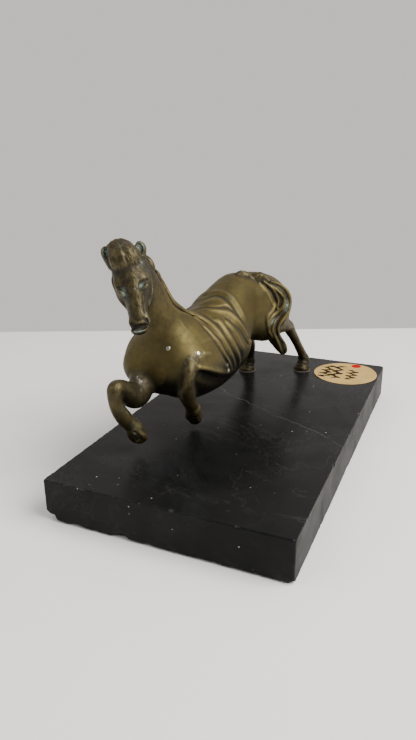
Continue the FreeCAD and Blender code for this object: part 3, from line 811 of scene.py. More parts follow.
# rubbed and soldered places, lightened, and painted highlights on the nose bridge and the forelegs
RUBBED_AND_HIGHLIT = [
    ((107.8, 17.8, 45.0), 1.2, .75), ((110.6, 16.2, 45.0), .9, .7), ((105.5, 18.2, 43.8), 1.3, .35),
    ((39.6, -.1, 68.4), 1.2, .6), ((122.4, -5.0, 33.4), .9, .9), ((123.9, -3.2, 32.9), .9, 1.0),
    ((125.2, -1.4, 31.9), .9, 1.0), ((126.3, .2, 30.4), .9, .8), (face_at(17.6, .8, 4.6), .45, .9),
    ((137.6, -.6, 23.0), .8, .5), ((134.6, .2, 17.4), .7, .5), ((99.6, 9.6, 13.8), .7, .7),
]
# painted shade: spots darkened in colour, in creases, sockets, the mouth and nostrils, and on the far hind
# leg
PAINTED_SHADE_SPOTS = [
    (face_at(32.6, -3.0, 1.8), 1.1, 1.0), (face_at(32.7, -1.4, 2.4), 1.1, 1.1),
    (face_at(32.7, .4, 2.4), 1.1, 1.1), (face_at(32.3, 2.2, 1.8), 1.1, 1.0),
    (face_at(31.0, 3.1, 2.6), .9, 1.0), (face_at(31.0, -3.2, 2.6), .9, 1.0),
    (face_at(21.5, -4.6, 3.0), 1.2, .55), (face_at(24.5, -4.2, 2.6), 1.2, .65),
    (face_at(27.5, -3.9, 2.4), 1.1, .55), (face_at(20.0, 4.2, 3.6), 1.0, .5),
    (face_at(23.5, 3.9, 3.2), 1.1, .5), (face_at(26.5, 3.6, 3.0), 1.0, .4),
    (face_at(14.6, 4.6, 4.2), 1.1, .7), (face_at(14.3, 6.6, 3.0), 1.1, .7),
    (face_at(15.4, -6.2, 2.8), 1.2, .7), (face_at(17.8, -7.0, 2.0), 1.2, .6),
    (face_at(9.2, -4.6, 2.8), 1.4, .75), (face_at(9.9, -2.2, 3.4), 1.4, .7),
    (face_at(9.6, .8, 3.6), 1.3, .5), (face_at(3.6, -7.6, 1.0), 1.6, .6), (face_at(-1.0, 4.6, 1.0), .8, .7),
    (face_at(1.4, 7.2, -.6), .9, .5), (face_at(2.4, -7.9, -.8), 1.3, .6), ((5.0, -15.8, 14.0), 8.0, .85),
    ((5.6, -16.0, 4.0), 6.0, .75), ((18.0, -13.5, 26.0), 9.0, .95), ((-12.6, 12.0, 3.4), 6.5, .80),
    ((22.0, 14.0, 36.0), 4.0, .4), ((120.6, -3.5, 21.0), 5.0, .8), ((126.5, -2.5, 21.6), 3.5, .6),
    ((103.5, 18.5, 30.5), 3.0, .7),
]

def stain(points, spots):
    """How much of a stain each point has, from soft round spots."""
    total = np.zeros(len(points))
    for centre, reach, amount in spots:
        away = ((points - np.array(centre))**2).sum(1)
        total += amount*np.exp(-away/(reach*reach))
    return np.clip(total, 0, 1.6)

LAP, LAP_DEPTH = 0.8, 0.03             # mm

def marks_of(clay, whole, points, n, leg):
    """What the bronze material reads: hollows and ridges, green, rubbed places and painted highlights,
    painted shade, and how brown the skin is.
    """
    relief = sample(clay, soften(whole, n) - whole, points)/clay.step
    brown = np.clip((points[:, 0] - 101 + 0.8*(points[:, 2] - 62))/30, 0, 1)
    hoof = np.clip((30 - points[:, 2])/16, 0, 1)*(points[:, 0] > 84)
    brown = np.maximum(brown, 0.45*hoof)
    brown = np.maximum(brown, np.clip((27 - points[:, 0])/14, 0, 1)*np.clip((50 - points[:, 2])/20, 0, 1))
    if leg:
        brown = np.maximum(brown, 0.85 - 0.40*hoof)
    slope = sample(clay, whole, points, slope=True)[1]
    down = -slope[:, 2]/np.maximum(np.linalg.norm(slope, axis=1), 1e-6)
    # painted shade: surfaces facing down, low on the body, darkened in colour; weaker on the legs, the
    # chest's front and the haunches, and joined with the shade spots listed above
    painted_shade = np.clip((down + 0.30)/0.58, 0, 1)*np.clip((50 - points[:, 2])/14, 0, 1)
    painted_shade *= 0.25 if leg else np.where(points[:, 0] > 118, 0.6, np.clip((points[:, 0] - 40)/22, 0.25, 1.0))
    painted_shade = np.clip(np.maximum(painted_shade, stain(points, PAINTED_SHADE_SPOTS)), 0, 1)
    return {"relief": relief, "green": stain(points, VERDIGRIS), "rubbed_highlit": stain(points, RUBBED_AND_HIGHLIT),
            "brown": brown, "painted_shade": painted_shade}

def cast_piece(name):
    """One casting of the horse, cut from the whole along its seams."""
    node, low, high, step, slot = CASTINGS[name]
    clay = build(low, high, step)
    whole = clay.f
    if node == "torso_shell":
        others = np.full(whole.shape, 9.0, np.float32)
        for make in ZONES.values():
            others = np.minimum(others, make(clay))
        # a lap joint: the shell runs on a little under the other castings' skins
        f = np.maximum(whole + LAP_DEPTH*np.clip(0.5 - others/0.5, 0, 1), -(others + LAP))
    else:
        f = np.maximum(whole, ZONES[node](clay))
        if node == "left_hind_leg":
            for other in ("left_foreleg", "tail"):
                f = np.maximum(f, -ZONES[other](clay))
    verts, quads = surface_nets(f, clay.low, clay.step)
    verts = settle(clay, f, verts)
    verts, quads = largest(verts, quads)
    n = max(1, int(round(1.3/step)))
    marks = marks_of(clay, whole, verts, n, "foreleg" in node or node == "tail")
    piece = new_mesh(name, to_row(verts), quads, marks)
    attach(piece, "root")
    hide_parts(node)
    return piece

def largest(verts, quads):
    """Keeps the one connected body with the most faces."""
    label = np.arange(len(verts))
    while True:
        low = label[quads].min(1)
        new = label.copy()
        for k in range(4):
            np.minimum.at(new, quads[:, k], low)
        new = new[new]
        if (new == label).all():
            break
        label = new
    ids, count = np.unique(label[quads[:, 0]], return_counts=True)
    keep = label[quads[:, 0]] == ids[count.argmax()]
    quads = quads[keep]
    used = np.unique(quads)
    number = np.full(len(verts), -1)
    number[used] = np.arange(len(used))
    return verts[used], number[quads]

# ---------------------------------------------------------------- materials

class Shade:
    """One material's node tree, on the Principled shader."""
    def __init__(self, name, metallic=0.0, roughness=0.5, specular=0.5):
        self.material = bpy.data.materials.new(name)
        self.material.use_nodes = True
        self.tree = self.material.node_tree
        self.tree.nodes.clear()
        out = self.add("ShaderNodeOutputMaterial")
        self.shader = self.add("ShaderNodeBsdfPrincipled")
        self.tree.links.new(self.shader.outputs[0], out.inputs[0])
        self.where = self.add("ShaderNodeTexCoord").outputs["Object"]
        self.set("Metallic", metallic)
        self.set("Roughness", roughness)
        self.set("Specular IOR Level", specular)

    def add(self, kind, **settings):
        node = self.tree.nodes.new(kind)
        for key, value in settings.items():
            setattr(node, key, value)
        return node

    def put(self, socket, value):
        if isinstance(value, bpy.types.NodeSocket):
            self.tree.links.new(value, socket)
        elif isinstance(value, (tuple, list)) and len(value) == 3 and len(socket.default_value) == 4:
            socket.default_value = (*value, 1)
        else:
            socket.default_value = value

    def set(self, name, value):
        self.put(self.shader.inputs[name], value)

    def math(self, how, a, b=0.0, c=0.0, clamp=False):
        node = self.add("ShaderNodeMath", operation=how, use_clamp=clamp)
        for socket, value in zip(node.inputs, (a, b, c)):
            self.put(socket, value)
        return node.outputs[0]

    def times(self, a, b, clamp=False):
        return self.math("MULTIPLY", a, b, clamp=clamp)

    def plus(self, a, b, clamp=False):
        return self.math("ADD", a, b, clamp=clamp)

    def minus(self, a, b, clamp=False):
        return self.math("SUBTRACT", a, b, clamp=clamp)

    def mark(self, name):
        return self.add("ShaderNodeAttribute", attribute_name=name).outputs["Fac"]

    def noise(self, scale, detail=4.0, rough=0.55, warp=0.0, at=None):
        node = self.add("ShaderNodeTexNoise")
        self.put(node.inputs["Vector"], at or self.where)
        for key, value in (("Scale", scale), ("Detail", detail), ("Roughness", rough),
            ("Distortion", warp)):
            node.inputs[key].default_value = value
        return node.outputs["Fac"]

    def cells(self, scale):
        node = self.add("ShaderNodeTexVoronoi")
        self.put(node.inputs["Vector"], self.where)
        node.inputs["Scale"].default_value = scale
        return node.outputs["Distance"]

    def stretch(self, scale, turn=(0, 0, 0)):
        node = self.add("ShaderNodeMapping")
        self.put(node.inputs["Vector"], self.where)
        node.inputs["Scale"].default_value = scale
        node.inputs["Rotation"].default_value = turn
        return node.outputs[0]

    def part_of(self, a):
        node = self.add("ShaderNodeSeparateXYZ")
        self.put(node.inputs[0], a)
        return node.outputs

    def span(self, value, low, high, to_low=0.0, to_high=1.0):
        node = self.add("ShaderNodeMapRange", interpolation_type="SMOOTHSTEP")
        for socket, v in zip(node.inputs, (value, low, high, to_low, to_high)):
            self.put(socket, v)
        return node.outputs[0]

    def mix(self, share, a, b):
        node = self.add("ShaderNodeMix", data_type="RGBA")
        self.put(node.inputs["Factor"], share)
        self.put(node.inputs["A_Color"] if "A_Color" in node.inputs else node.inputs[6], a)
        self.put(node.inputs["B_Color"] if "B_Color" in node.inputs else node.inputs[7], b)
        return node.outputs[2]

    def bump(self, height, distance, strength=1.0):
        node = self.add("ShaderNodeBump")
        self.put(node.inputs["Height"], height)
        node.inputs["Distance"].default_value = distance
        node.inputs["Strength"].default_value = strength
        self.set("Normal", node.outputs[0])

def bronze_shade():
    """Olive gold to brown, worn on ridges and dark in hollows, with green crust, bright rubs and painted
    highlights, and painted shade underneath.
    """
    s = Shade("bronze_patina_and_painted_light")
    relief, green, rubbed_highlit = s.mark("relief"), s.mark("green"), s.mark("rubbed_highlit")
    brown = s.mark("brown")
    wide = s.noise(55, 3, 0.5, 0.6)
    blotch = s.noise(230, 5, 0.6, 0.8)
    grain = s.noise(1500, 6, 0.65)
    hollow = s.span(s.plus(relief, s.times(s.minus(blotch, 0.5), -0.10)), -0.02, -0.36)
    ridge = s.span(relief, 0.06, 0.34)
    gold = s.mix(s.span(wide, 0.36, 0.66), (0.096, 0.074, 0.021), (0.066, 0.053, 0.017))
    gold = s.mix(s.span(blotch, 0.45, 0.72, 0, 0.55), gold, (0.054, 0.041, 0.014))
    dark = s.mix(s.span(blotch, 0.38, 0.66), (0.047, 0.039, 0.021), (0.026, 0.021, 0.013))
    colour = s.mix(s.times(brown, 0.92), gold, dark)
    worn = s.times(ridge, s.minus(0.36, s.times(brown, 0.20)))
    colour = s.mix(worn, colour, (0.20, 0.155, 0.060))
    tooled = s.noise(1.0, 5, 0.62, 0.8, s.stretch((950, 520, 330), (0.5, 0.3, 0.6)))
    colour = s.mix(s.times(brown, s.span(tooled, 0.48, 0.36, 0, 0.55)), colour, (0.013, 0.011, 0.006))
    colour = s.mix(s.times(brown, s.span(tooled, 0.54, 0.68, 0, 0.40)), colour, (0.120, 0.105, 0.065))
    # darker in hollows: partly the patina kept in the recesses, partly painted shade in the creases
    colour = s.mix(s.times(hollow, 0.74), colour, (0.013, 0.010, 0.004))
    # painted shade: darkened nearly to black underneath and in the listed shade spots
    colour = s.mix(s.times(s.mark("painted_shade"), 0.94), colour, (0.005, 0.004, 0.002))
    colour = s.mix(s.span(grain, 0.62, 0.74, 0, 0.35), colour, (0.045, 0.032, 0.015))
    crust = s.times(green, s.span(s.noise(650, 6, 0.7, 0.5), 0.30, 0.62))
    crust = s.times(crust, s.plus(0.45, s.times(hollow, 0.9)), clamp=True)
    crust = s.plus(crust, s.times(hollow, s.span(s.noise(120, 4, 0.6), 0.62, 0.78, 0, 0.16)), clamp=True)
    colour = s.mix(crust, colour, s.mix(grain, (0.10, 0.17, 0.135), (0.40, 0.50, 0.46)))
    # rubbed and soldered metal, and painted highlights: pale near-white spots in the colour
    rubbed_highlit_share = s.times(rubbed_highlit, s.span(s.noise(900, 5, 0.7), 0.42, 0.60), clamp=True)
    colour = s.mix(rubbed_highlit_share, colour, (0.70, 0.69, 0.62))
    s.set("Base Color", colour)
    metal = s.minus(0.80, s.times(hollow, 0.35))
    s.set("Metallic", s.times(metal, s.minus(1.0, s.times(crust, 0.85)), clamp=True))
    rough = s.plus(0.42, s.times(blotch, 0.20))
    rough = s.minus(rough, s.times(brown, 0.07))
    rough = s.plus(rough, s.times(hollow, 0.22))
    rough = s.plus(rough, s.times(crust, 0.30))
    s.set("Roughness", s.minus(rough, s.times(rubbed_highlit_share, 0.12), clamp=True))
    height = s.plus(s.times(grain, 0.30), s.times(blotch, 0.7))
    height = s.plus(height, s.times(crust, 0.8))
    height = s.plus(height, s.times(s.times(tooled, brown), 4.2))
    s.bump(height, 0.00012, 0.7)
    return s.material

def metal_shade(name, light, dark, roughness, scale=900, bump=0.00003):
    s = Shade(name, metallic=1.0)
    fine, wide = s.noise(scale, 5, 0.6), s.noise(scale/7, 3, 0.5, 0.4)
    s.set("Base Color", s.mix(s.span(s.plus(s.times(fine, 0.5), s.times(wide, 0.5)), 0.38, 0.62), dark,
        light))
    s.set("Roughness", s.plus(roughness, s.times(fine, 0.18)))
    s.bump(fine, bump, 0.6)
    return s.material

def marble_shade():
    """Near black, with clouds, one vein, flecks, dust, a painted sheen on the sides, grey broken places and
    fine scratches.
    """
    s = Shade("black_marble")
    x, y, z = s.part_of(s.where)
    broken = s.mark("broken")
    cloud = s.noise(14, 5, 0.6, 0.8)
    fleck = s.noise(420, 4, 0.7)
    fine = s.noise(95, 7, 0.72, 1.2)
    colour = s.mix(s.span(cloud, 0.35, 0.7), (0.0042, 0.0044, 0.0046), (0.0080, 0.0080, 0.0082))
    colour = s.mix(s.span(fine, 0.60, 0.80, 0, 0.35), colour, (0.055, 0.054, 0.052))
    # one thin pale vein that runs across the top, wandering a little
    wander = s.times(s.minus(s.noise(28, 4, 0.55), 0.5), 0.016)
    along = s.plus(s.times(x, VEIN[0]), s.times(y, VEIN[1]))
    off = s.math("ABSOLUTE", s.plus(s.minus(along, VEIN[2]), wander))
    vein = s.span(off, 0.00034, 0.0)
    vein = s.times(vein, s.span(s.noise(60, 3, 0.6), 0.36, 0.60, 0.15, 1.0))
    side = s.span(z, (STONE_TOP - 0.9)*MM, (STONE_TOP - 0.2)*MM)
    s.set("Specular IOR Level", 0.10)
    colour = s.mix(s.times(vein, 0.45), colour, (0.17, 0.16, 0.15))
    thin = s.math("ABSOLUTE", s.minus(s.noise(9, 6, 0.62, 1.6), 0.5))
    colour = s.mix(s.times(s.span(thin, 0.005, 0.0), 0.07), colour, (0.15, 0.145, 0.14))
    # flecks and dust on the top, and painted sheen lightening the sides
    dots = s.span(s.cells(170), 0.075, 0.03)
    dots = s.times(dots, s.span(s.noise(33, 2, 0.5), 0.49, 0.58))
    colour = s.mix(s.times(dots, 0.8), colour, (0.40, 0.38, 0.35))
    haze = s.span(s.noise(22, 6, 0.7, 1.0), 0.48, 0.78, 0, 0.09)
    painted_side_sheen = s.times(s.minus(1.0, side), s.span(s.noise(48, 6, 0.72, 1.4), 0.45, 0.80, 0.0, 0.16))
    colour = s.mix(s.math("MAXIMUM", haze, painted_side_sheen), colour, (0.075, 0.076, 0.078))
    colour = s.mix(s.times(broken, s.span(fleck, 0.3, 0.7, 0.35, 0.9)), colour, (0.032, 0.031, 0.030))
    s.set("Base Color", colour)
    scratch = s.span(s.noise(1.0, 3, 0.6, 0.0, s.stretch((22, 1500, 22), (0, 0, 0.62))), 0.66, 0.72)
    rough = s.plus(0.22, s.times(s.span(s.noise(36, 6, 0.65, 0.6), 0.35, 0.75), 0.18))
    rough = s.plus(rough, s.times(s.minus(1.0, side), 0.22))
    rough = s.plus(rough, s.times(broken, 0.40))
    s.set("Roughness", s.plus(rough, s.times(scratch, 0.18), clamp=True))
    height = s.plus(s.times(scratch, -0.25), s.times(fleck, s.plus(0.03, s.times(broken, 1.2))))
    s.bump(height, 0.0001, 0.5)
    return s.material

def paper_shade():
    """Brown paper with plain zigzag strokes, which are no letters or figures, and a red dot."""
    s = Shade("kraft_label", roughness=0.95, specular=0.05)
    fibre = s.noise(1.0, 6, 0.7, 0.4, s.stretch((2600, 700, 900), (0, 0, 0.4)))
    cloud = s.noise(90, 5, 0.6)
    colour = s.mix(s.span(cloud, 0.35, 0.7), (0.520, 0.360, 0.135), (0.440, 0.295, 0.105))
    colour = s.mix(s.span(fibre, 0.52, 0.70, 0, 0.35), colour, (0.33, 0.21, 0.07))
    x, y = s.part_of(s.where)[:2]
    across = s.minus(x, LABEL_AT[0]*MM)
    up = s.minus(y, LABEL_AT[1]*MM)
    c, n = math.cos(INK_TURN), math.sin(INK_TURN)
    u = s.plus(s.times(across, c), s.times(up, n))
    v = s.minus(s.times(up, c), s.times(across, n))
    ink = 0.0
    for level, start, end, height, pitch in INK_LINES:
        wave = s.times(s.math("SINE", s.times(u, pitch)), height*MM)
        wobble = s.times(s.minus(s.noise(330, 2, 0.5), 0.5), 2.4*height*MM)
        away = s.math("ABSOLUTE", s.minus(s.minus(v, level*MM), s.plus(wave, wobble)))
        line = s.span(away, 2.2*MM, 1.6*MM)
        line = s.times(line, s.math("GREATER_THAN", u, start*MM))
        line = s.times(line, s.math("LESS_THAN", u, end*MM))
        ink = line if isinstance(ink, float) else s.math("MAXIMUM", ink, line)
    colour = s.mix(s.times(ink, 0.97), colour, (0.008, 0.007, 0.008))
    du = s.minus(u, RED_MARK[0]*MM)
    dv = s.minus(v, RED_MARK[1]*MM)
    far = s.math("SQRT", s.plus(s.times(du, du), s.times(dv, dv)))
    colour = s.mix(s.span(far, 3.1*MM, 2.7*MM), colour, (0.42, 0.003, 0.006))
    s.set("Base Color", colour)
    s.bump(fibre, 0.00006, 0.5)
    return s.material

def felt_shade():
    s = Shade("felt", roughness=0.95, specular=0.15)
    fibre = s.noise(1700, 7, 0.75, 2.0)
    tuft = s.noise(160, 4, 0.6)
    s.set("Base Color", s.mix(s.span(s.plus(s.times(fibre, 0.7), s.times(tuft, 0.3)), 0.35, 0.65),
                              (0.014, 0.040, 0.020), (0.045, 0.105, 0.060)))
    s.set("Sheen Weight", 0.35)
    s.bump(fibre, 0.0002, 0.9)
    return s.material

def bedding_shade():
    s = Shade("bedding_compound", roughness=0.85, specular=0.3)
    grit = s.noise(1100, 6, 0.7)
    s.set("Base Color", s.mix(s.span(grit, 0.35, 0.65), (0.06, 0.056, 0.046), (0.18, 0.17, 0.145)))
    s.bump(grit, 0.0002, 0.8)
    return s.material

def dress(piece, material):
    piece.data.materials.clear()
    piece.data.materials.append(material)

# ---------------------------------------------------------------- slab, felt, label, plugs

# Many of the places below, on the slab and the label, were read off the photograph with a scratch script
# and changed by hand since.
VEIN = (0.858, -0.513, -0.0083)       # the vein's normal in the top face, and its offset (m)
INK_TURN = math.pi                    # the strokes run along -X
# level, start, end (mm), height (mm), waves per metre
INK_LINES = [
    (11.2, -11.0, 11.4, 1.9, 1150.0), (5.2, -10.6, 12.4, 2.1, 900.0), (-4.4, -10.2, 7.2, 1.9, 1250.0),
]
RED_MARK = (15.2, -3.8)
STUD_HOLE, COUNTERBORE = (1.7, 30.0), (5.0, 6.5)      # radius and upper end, mm
BELOW = -2.0                          # where the cutters start, under the slab
# chips out of the slab's lower edge: place along the rim (x, y), half length, depth (mm)
LOWER_CHIPS = [
    ((100, -55), 5.5, 5.2), ((100, -40), 4.6, 1.7), ((100, -30.5), 2.2, 1.0), ((100, -18.5), 4.4, 2.7),
    ((100, -6), 3.0, 1.0), ((100, 24), 3.5, 0.9), ((100, 41), 2.0, 1.2), ((100, 55), 2.4, 1.6),
    ((72, -55), 3.0, 1.6), ((30, -55), 2.4, 1.2), ((-40, -55), 4.0, 1.5), ((-100, -55), 2.4, 2.0),
    ((-100, 12), 3.4, 1.5), ((60, 55), 2.2, 1.0), ((8, 55), 3.2, 1.3), ((-62, 55), 2.6, 1.1),
]
UPPER_CHIPS = [
    ((100, -44), 1.6, 0.9), ((100, -35), 2.6, 0.8), ((100, -20), 1.4, 1.1), ((100, 5.7), 1.3, 1.3),
    ((100, 33), 1.6, 0.8), ((100, 55), 1.0, 1.1), ((84, 55), 1.3, 0.8), ((40, 55), 2.6, 1.0),
    ((-18, 55), 1.6, 0.9), ((-70, 55), 1.3, 0.8), ((-100, 55), 1.2, 1.3), ((-100, -12), 2.2, 0.9),
    ((61, -55), 1.5, 0.9), ((55, -55), 1.0, 0.7), ((-30, -55), 2.0, 1.0),
]

RIM_LENGTH = 2*(STONE[0] + STONE[1])
WORN = 7.0           # how far in from the rim the slab's wear and chips reach, mm

def rounded_rim(half_x, half_y, radius, pitch):
    """Points and outward directions round a rectangle with rounded corners."""
    points, out = [], []
    corners = [(1, -1, -90), (1, 1, 0), (-1, 1, 90), (-1, -1, 180)]
    for i, (sx, sy, start) in enumerate(corners):
        cx, cy = sx*(half_x - radius), sy*(half_y - radius)
        n = max(3, int(radius*1.6/pitch) + 2)
        for a in np.radians(start + np.linspace(0, 90, n)):
            points.append((cx + radius*math.cos(a), cy + radius*math.sin(a)))
            out.append((math.cos(a), math.sin(a)))
        nx, ny, _ = corners[(i + 1) % 4]
        last = np.array(points[-1])
        a = math.radians(start + 90)
        goal = np.array((nx*(half_x - radius), ny*(half_y - radius))) + radius*np.array((math.cos(a),
            math.sin(a)))
        count = int(np.linalg.norm(goal - last)/pitch)
        for t in np.linspace(0, 1, count + 1)[1:-1]:
            points.append(tuple(last + (goal - last)*t))
            out.append((math.cos(a), math.sin(a)))
    return np.array(points), np.array(out)

def rim_noise(points, rng, reach, size):
    """Smooth random value at each rim point, from scattered bumps of about `reach` mm."""
    total = np.zeros(len(points))
    for _ in range(int(RIM_LENGTH/reach*1.5)):
        at = points[rng.integers(len(points))]
        total += rng.uniform(-1, 1)*size*np.exp(-((points - at)**2).sum(1)/(reach*reach))
    return total

def chip_depth(points, chips, rng):
    """How deep the rim is chipped away at each point."""
    depth = np.zeros(len(points))
    for at, half, deep in chips:
        away = np.linalg.norm(points - np.array(at, float), axis=1)/half
        depth = np.maximum(depth, deep*np.clip(1 - away**2.4, 0, 1)**0.7)
    return depth*(1 + rim_noise(points, rng, 1.3, 0.22))

def drill(slab):
    """Stud holes under the hind hooves, each with a counterbore from below."""
    cutters = []
    for _, foot in HOOVES:
        x, y, _ = to_row(np.array([foot], float))[0]
        for radius, upper in (STUD_HOLE, COUNTERBORE):
            bpy.ops.mesh.primitive_cylinder_add(vertices=64, radius=radius*MM, depth=(upper - BELOW)*MM,
                                                location=(x, y, (upper + BELOW)/2*MM))
            cutters.append(bpy.context.object)
    for cutter in cutters:
        cut = slab.modifiers.new("hole", "BOOLEAN")
        cut.operation, cut.object, cut.solver = "DIFFERENCE", cutter, "EXACT"
    apply_modifiers(slab)
    for cutter in cutters:
        bpy.data.objects.remove(cutter)

def mark_broken(slab):
    """Marks the points in the chips, which the marble's material makes rough and grey."""
    hx, hy, top = STONE[0]/2, STONE[1]/2, STONE[2]
    co = np.empty(len(slab.data.vertices)*3)
    slab.data.vertices.foreach_get("co", co)
    co = co.reshape(-1, 3)/MM
    z = co[:, 2] - FELT
    inset = np.minimum(hx - np.abs(co[:, 0]), hy - np.abs(co[:, 1]))
    reach = np.minimum(inset + np.where(z < top/2, z, top - z), 9)
    on_chip = (inset > 0.2) & (inset < 6) & (np.minimum(z, top - z) > 0.01) & (reach > 0.75)
    layer = slab.data.attributes.new("broken", "FLOAT", "POINT")
    layer.data.foreach_set("value", on_chip.astype(np.float32))

def make_slab():
    """The marble slab: rings of points from its underside to its top, with worn and chipped rims."""
    rng = np.random.default_rng(11)
    hx, hy, top = STONE[0]/2, STONE[1]/2, STONE[2]
    points = rounded_rim(hx, hy, 0.9, 0.62)[0]
    low = 0.42 + np.abs(rim_noise(points, rng, 2.2, 0.20)) + np.abs(rim_noise(points, rng, 0.9, 0.12))
    low = np.maximum(low, chip_depth(points, LOWER_CHIPS, rng))
    high = 0.38 + np.abs(rim_noise(points, rng, 1.8, 0.12)) + np.abs(rim_noise(points, rng, 0.8, 0.08))
    high = np.maximum(high, chip_depth(points, UPPER_CHIPS, rng))
    jag = [rim_noise(points, rng, 0.9, 0.10) for _ in range(4)]
    rows = [
        (np.full(len(points), WORN), 0*low), (low*1.15, 0*low),
        (low*(0.62 + jag[0]), low*(0.26 + jag[1]/2)), (low*(0.22 + jag[2]/2), low*(0.68 + jag[0])),
        (0*low, low*1.08),
    ]
    for z in np.linspace(6.4, top - 2.2, 6):
        rows.append((np.abs(rim_noise(points, rng, 3.0, 0.03)), np.full(len(points), z)))
    caps = (0.86, 0.7, 0.5, 0.3, 0.12)
    rows += [
        (0*high, top - high*1.1), (high*(0.24 + jag[3]/2), top - high*(0.62 + jag[1])),
        (high*(0.62 + jag[2]), top - high*(0.22 + jag[0]/2)), (high*1.1, top + 0*high),
        (np.full(len(points), WORN), top + 0*high),
    ]
    verts, n = [], len(points)
    inner = points*(1 - WORN/hx, 1 - WORN/hy)
    for inset, z in rows:
        inset = np.clip(inset, 0, None)
        ring = points + (inner - points)*(inset/WORN)[:, None]
        verts.append(np.c_[ring, np.clip(z, 0, top) + FELT])
    verts = [np.c_[inner*share, np.full(n, FELT)] for share in caps[::-1]] + verts
    verts += [np.c_[inner*share, np.full(n, top + FELT)] for share in caps]
    faces = []
    for r in range(len(verts) - 1):
        for i in range(n):
            j = (i + 1) % n
            faces.append((r*n + i, r*n + j, (r + 1)*n + j, (r + 1)*n + i))
    faces.append(tuple(range(n))[::-1])
    faces.append(tuple((len(verts) - 1)*n + i for i in range(n)))
    slab = new_mesh("marble_slab", to_row_frame(np.vstack(verts)), faces, smooth=False)
    drill(slab)
    mark_broken(slab)
    dress(slab, marble_shade())
    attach(slab, "root")
    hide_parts("marble_base")
    return slab

def apply_modifiers(piece):
    """Turns the piece's modifiers into plain mesh."""
    graph = bpy.context.evaluated_depsgraph_get()
    graph.update()
    mesh = bpy.data.meshes.new_from_object(piece.evaluated_get(graph))
    piece.modifiers.clear()
    piece.data = mesh

def plate(name, rim, rings, low, high, wave=None):
    """A thin closed plate: concentric rings of a rim, shrunk towards its middle."""
    n = len(rim)
    middle = rim.mean(0)
    verts, faces = [], []
    for side, level in ((1, high), (-1, low)):
        for share in rings:
            ring = middle + (rim - middle)*share
            lift = wave(ring) if wave else 0.0
            verts.append(np.c_[ring, np.full(n, level) + lift])
        verts.append(np.array([[*middle, level + (wave(middle[None])[0] if wave else 0.0)]]))
    verts = np.vstack(verts)
    block = len(rings)*n + 1
    for side in (0, 1):
        b = side*block
        for r in range(len(rings) - 1):
            for i in range(n):
                j = (i + 1) % n
                face = (b + r*n + i, b + r*n + j, b + (r + 1)*n + j, b + (r + 1)*n + i)
                faces.append(face if side == 0 else face[::-1])
        for i in range(n):
            face = (b + (len(rings) - 1)*n + i, b + (len(rings) - 1)*n + (i + 1) % n, b + block - 1)
            faces.append(face if side == 0 else face[::-1])
    for i in range(n):
        j = (i + 1) % n
        faces.append((block + i, block + j, j, i))
    return new_mesh(name, to_row_frame(verts), faces)

def make_label():
    rng = np.random.default_rng(5)
    a = np.linspace(0, 2*math.pi, 180, endpoint=False)
    r = LABEL_RADIUS - 0.06 + 0.05*np.sin(3*a + 1) + rng.normal(0, 0.012, len(a))
    rim = np.c_[LABEL_AT[0] + r*np.cos(a), LABEL_AT[1] + r*np.sin(a)]
    def curl(p):
        d = p - np.array(LABEL_AT)
        far = np.linalg.norm(d, axis=1)/LABEL_RADIUS
        angle = np.arctan2(d[:, 1], d[:, 0])
        lift = 0.55*np.exp(-((angle - 2.5)/0.42)**2) + 0.28*np.exp(-((angle + 0.9)/0.35)**2)
        ripple = 0.012*np.sin(0.9*p[:, 0]) * np.sin(0.7*p[:, 1])
        return lift*np.clip((far - 0.80)/0.20, 0, 1)**2 + 0.012 + ripple
    rings = [1, 0.985, 0.96, 0.93, 0.9, 0.86, 0.82, 0.76, 0.68, 0.58, 0.46, 0.32, 0.16]
    label = plate("round_label", rim, rings, STONE_TOP + 0.002, STONE_TOP + 0.115, curl)
    dress(label, paper_shade())
    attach(label, "root")
    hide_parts("paper_label")

def make_felt():
    rng = np.random.default_rng(3)
    rim, out = rounded_rim(FELT_SIZE[0]/2, FELT_SIZE[1]/2, 4.0, 0.9)
    rim = rim - out*np.abs(rng.normal(0, 0.10, len(rim)))[:, None]
    felt = plate("base_felt_sheet", rim, [1, 0.995, 0.985, 0.96, 0.9, 0.8, 0.6, 0.4, 0.2], 0.0, FELT - 0.02)
    dress(felt, felt_shade())
    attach(felt, "root")
    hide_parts("base_felt")

# a point on the skin and one inside the body, for each plug
PLUGS = [
    ((114.4, 6.1, 46.9), (100, 0, 38)), ((106.4, 17.2, 44.8), (98, 2, 36)),
    ((106.0, -22.8, 44.8), (98, -8, 36)), ((82.0, 17.6, 28.8), (82, 2, 36)),
    ((82.0, -23.2, 28.8), (82, -8, 36)), ((39.6, -1.0, 69.8), (39.6, -3, 55)),
]

PLUG_RADIUS, PLUG_PROUD, PLUG_DEPTH = 0.92, 0.06, 2.0      # mm

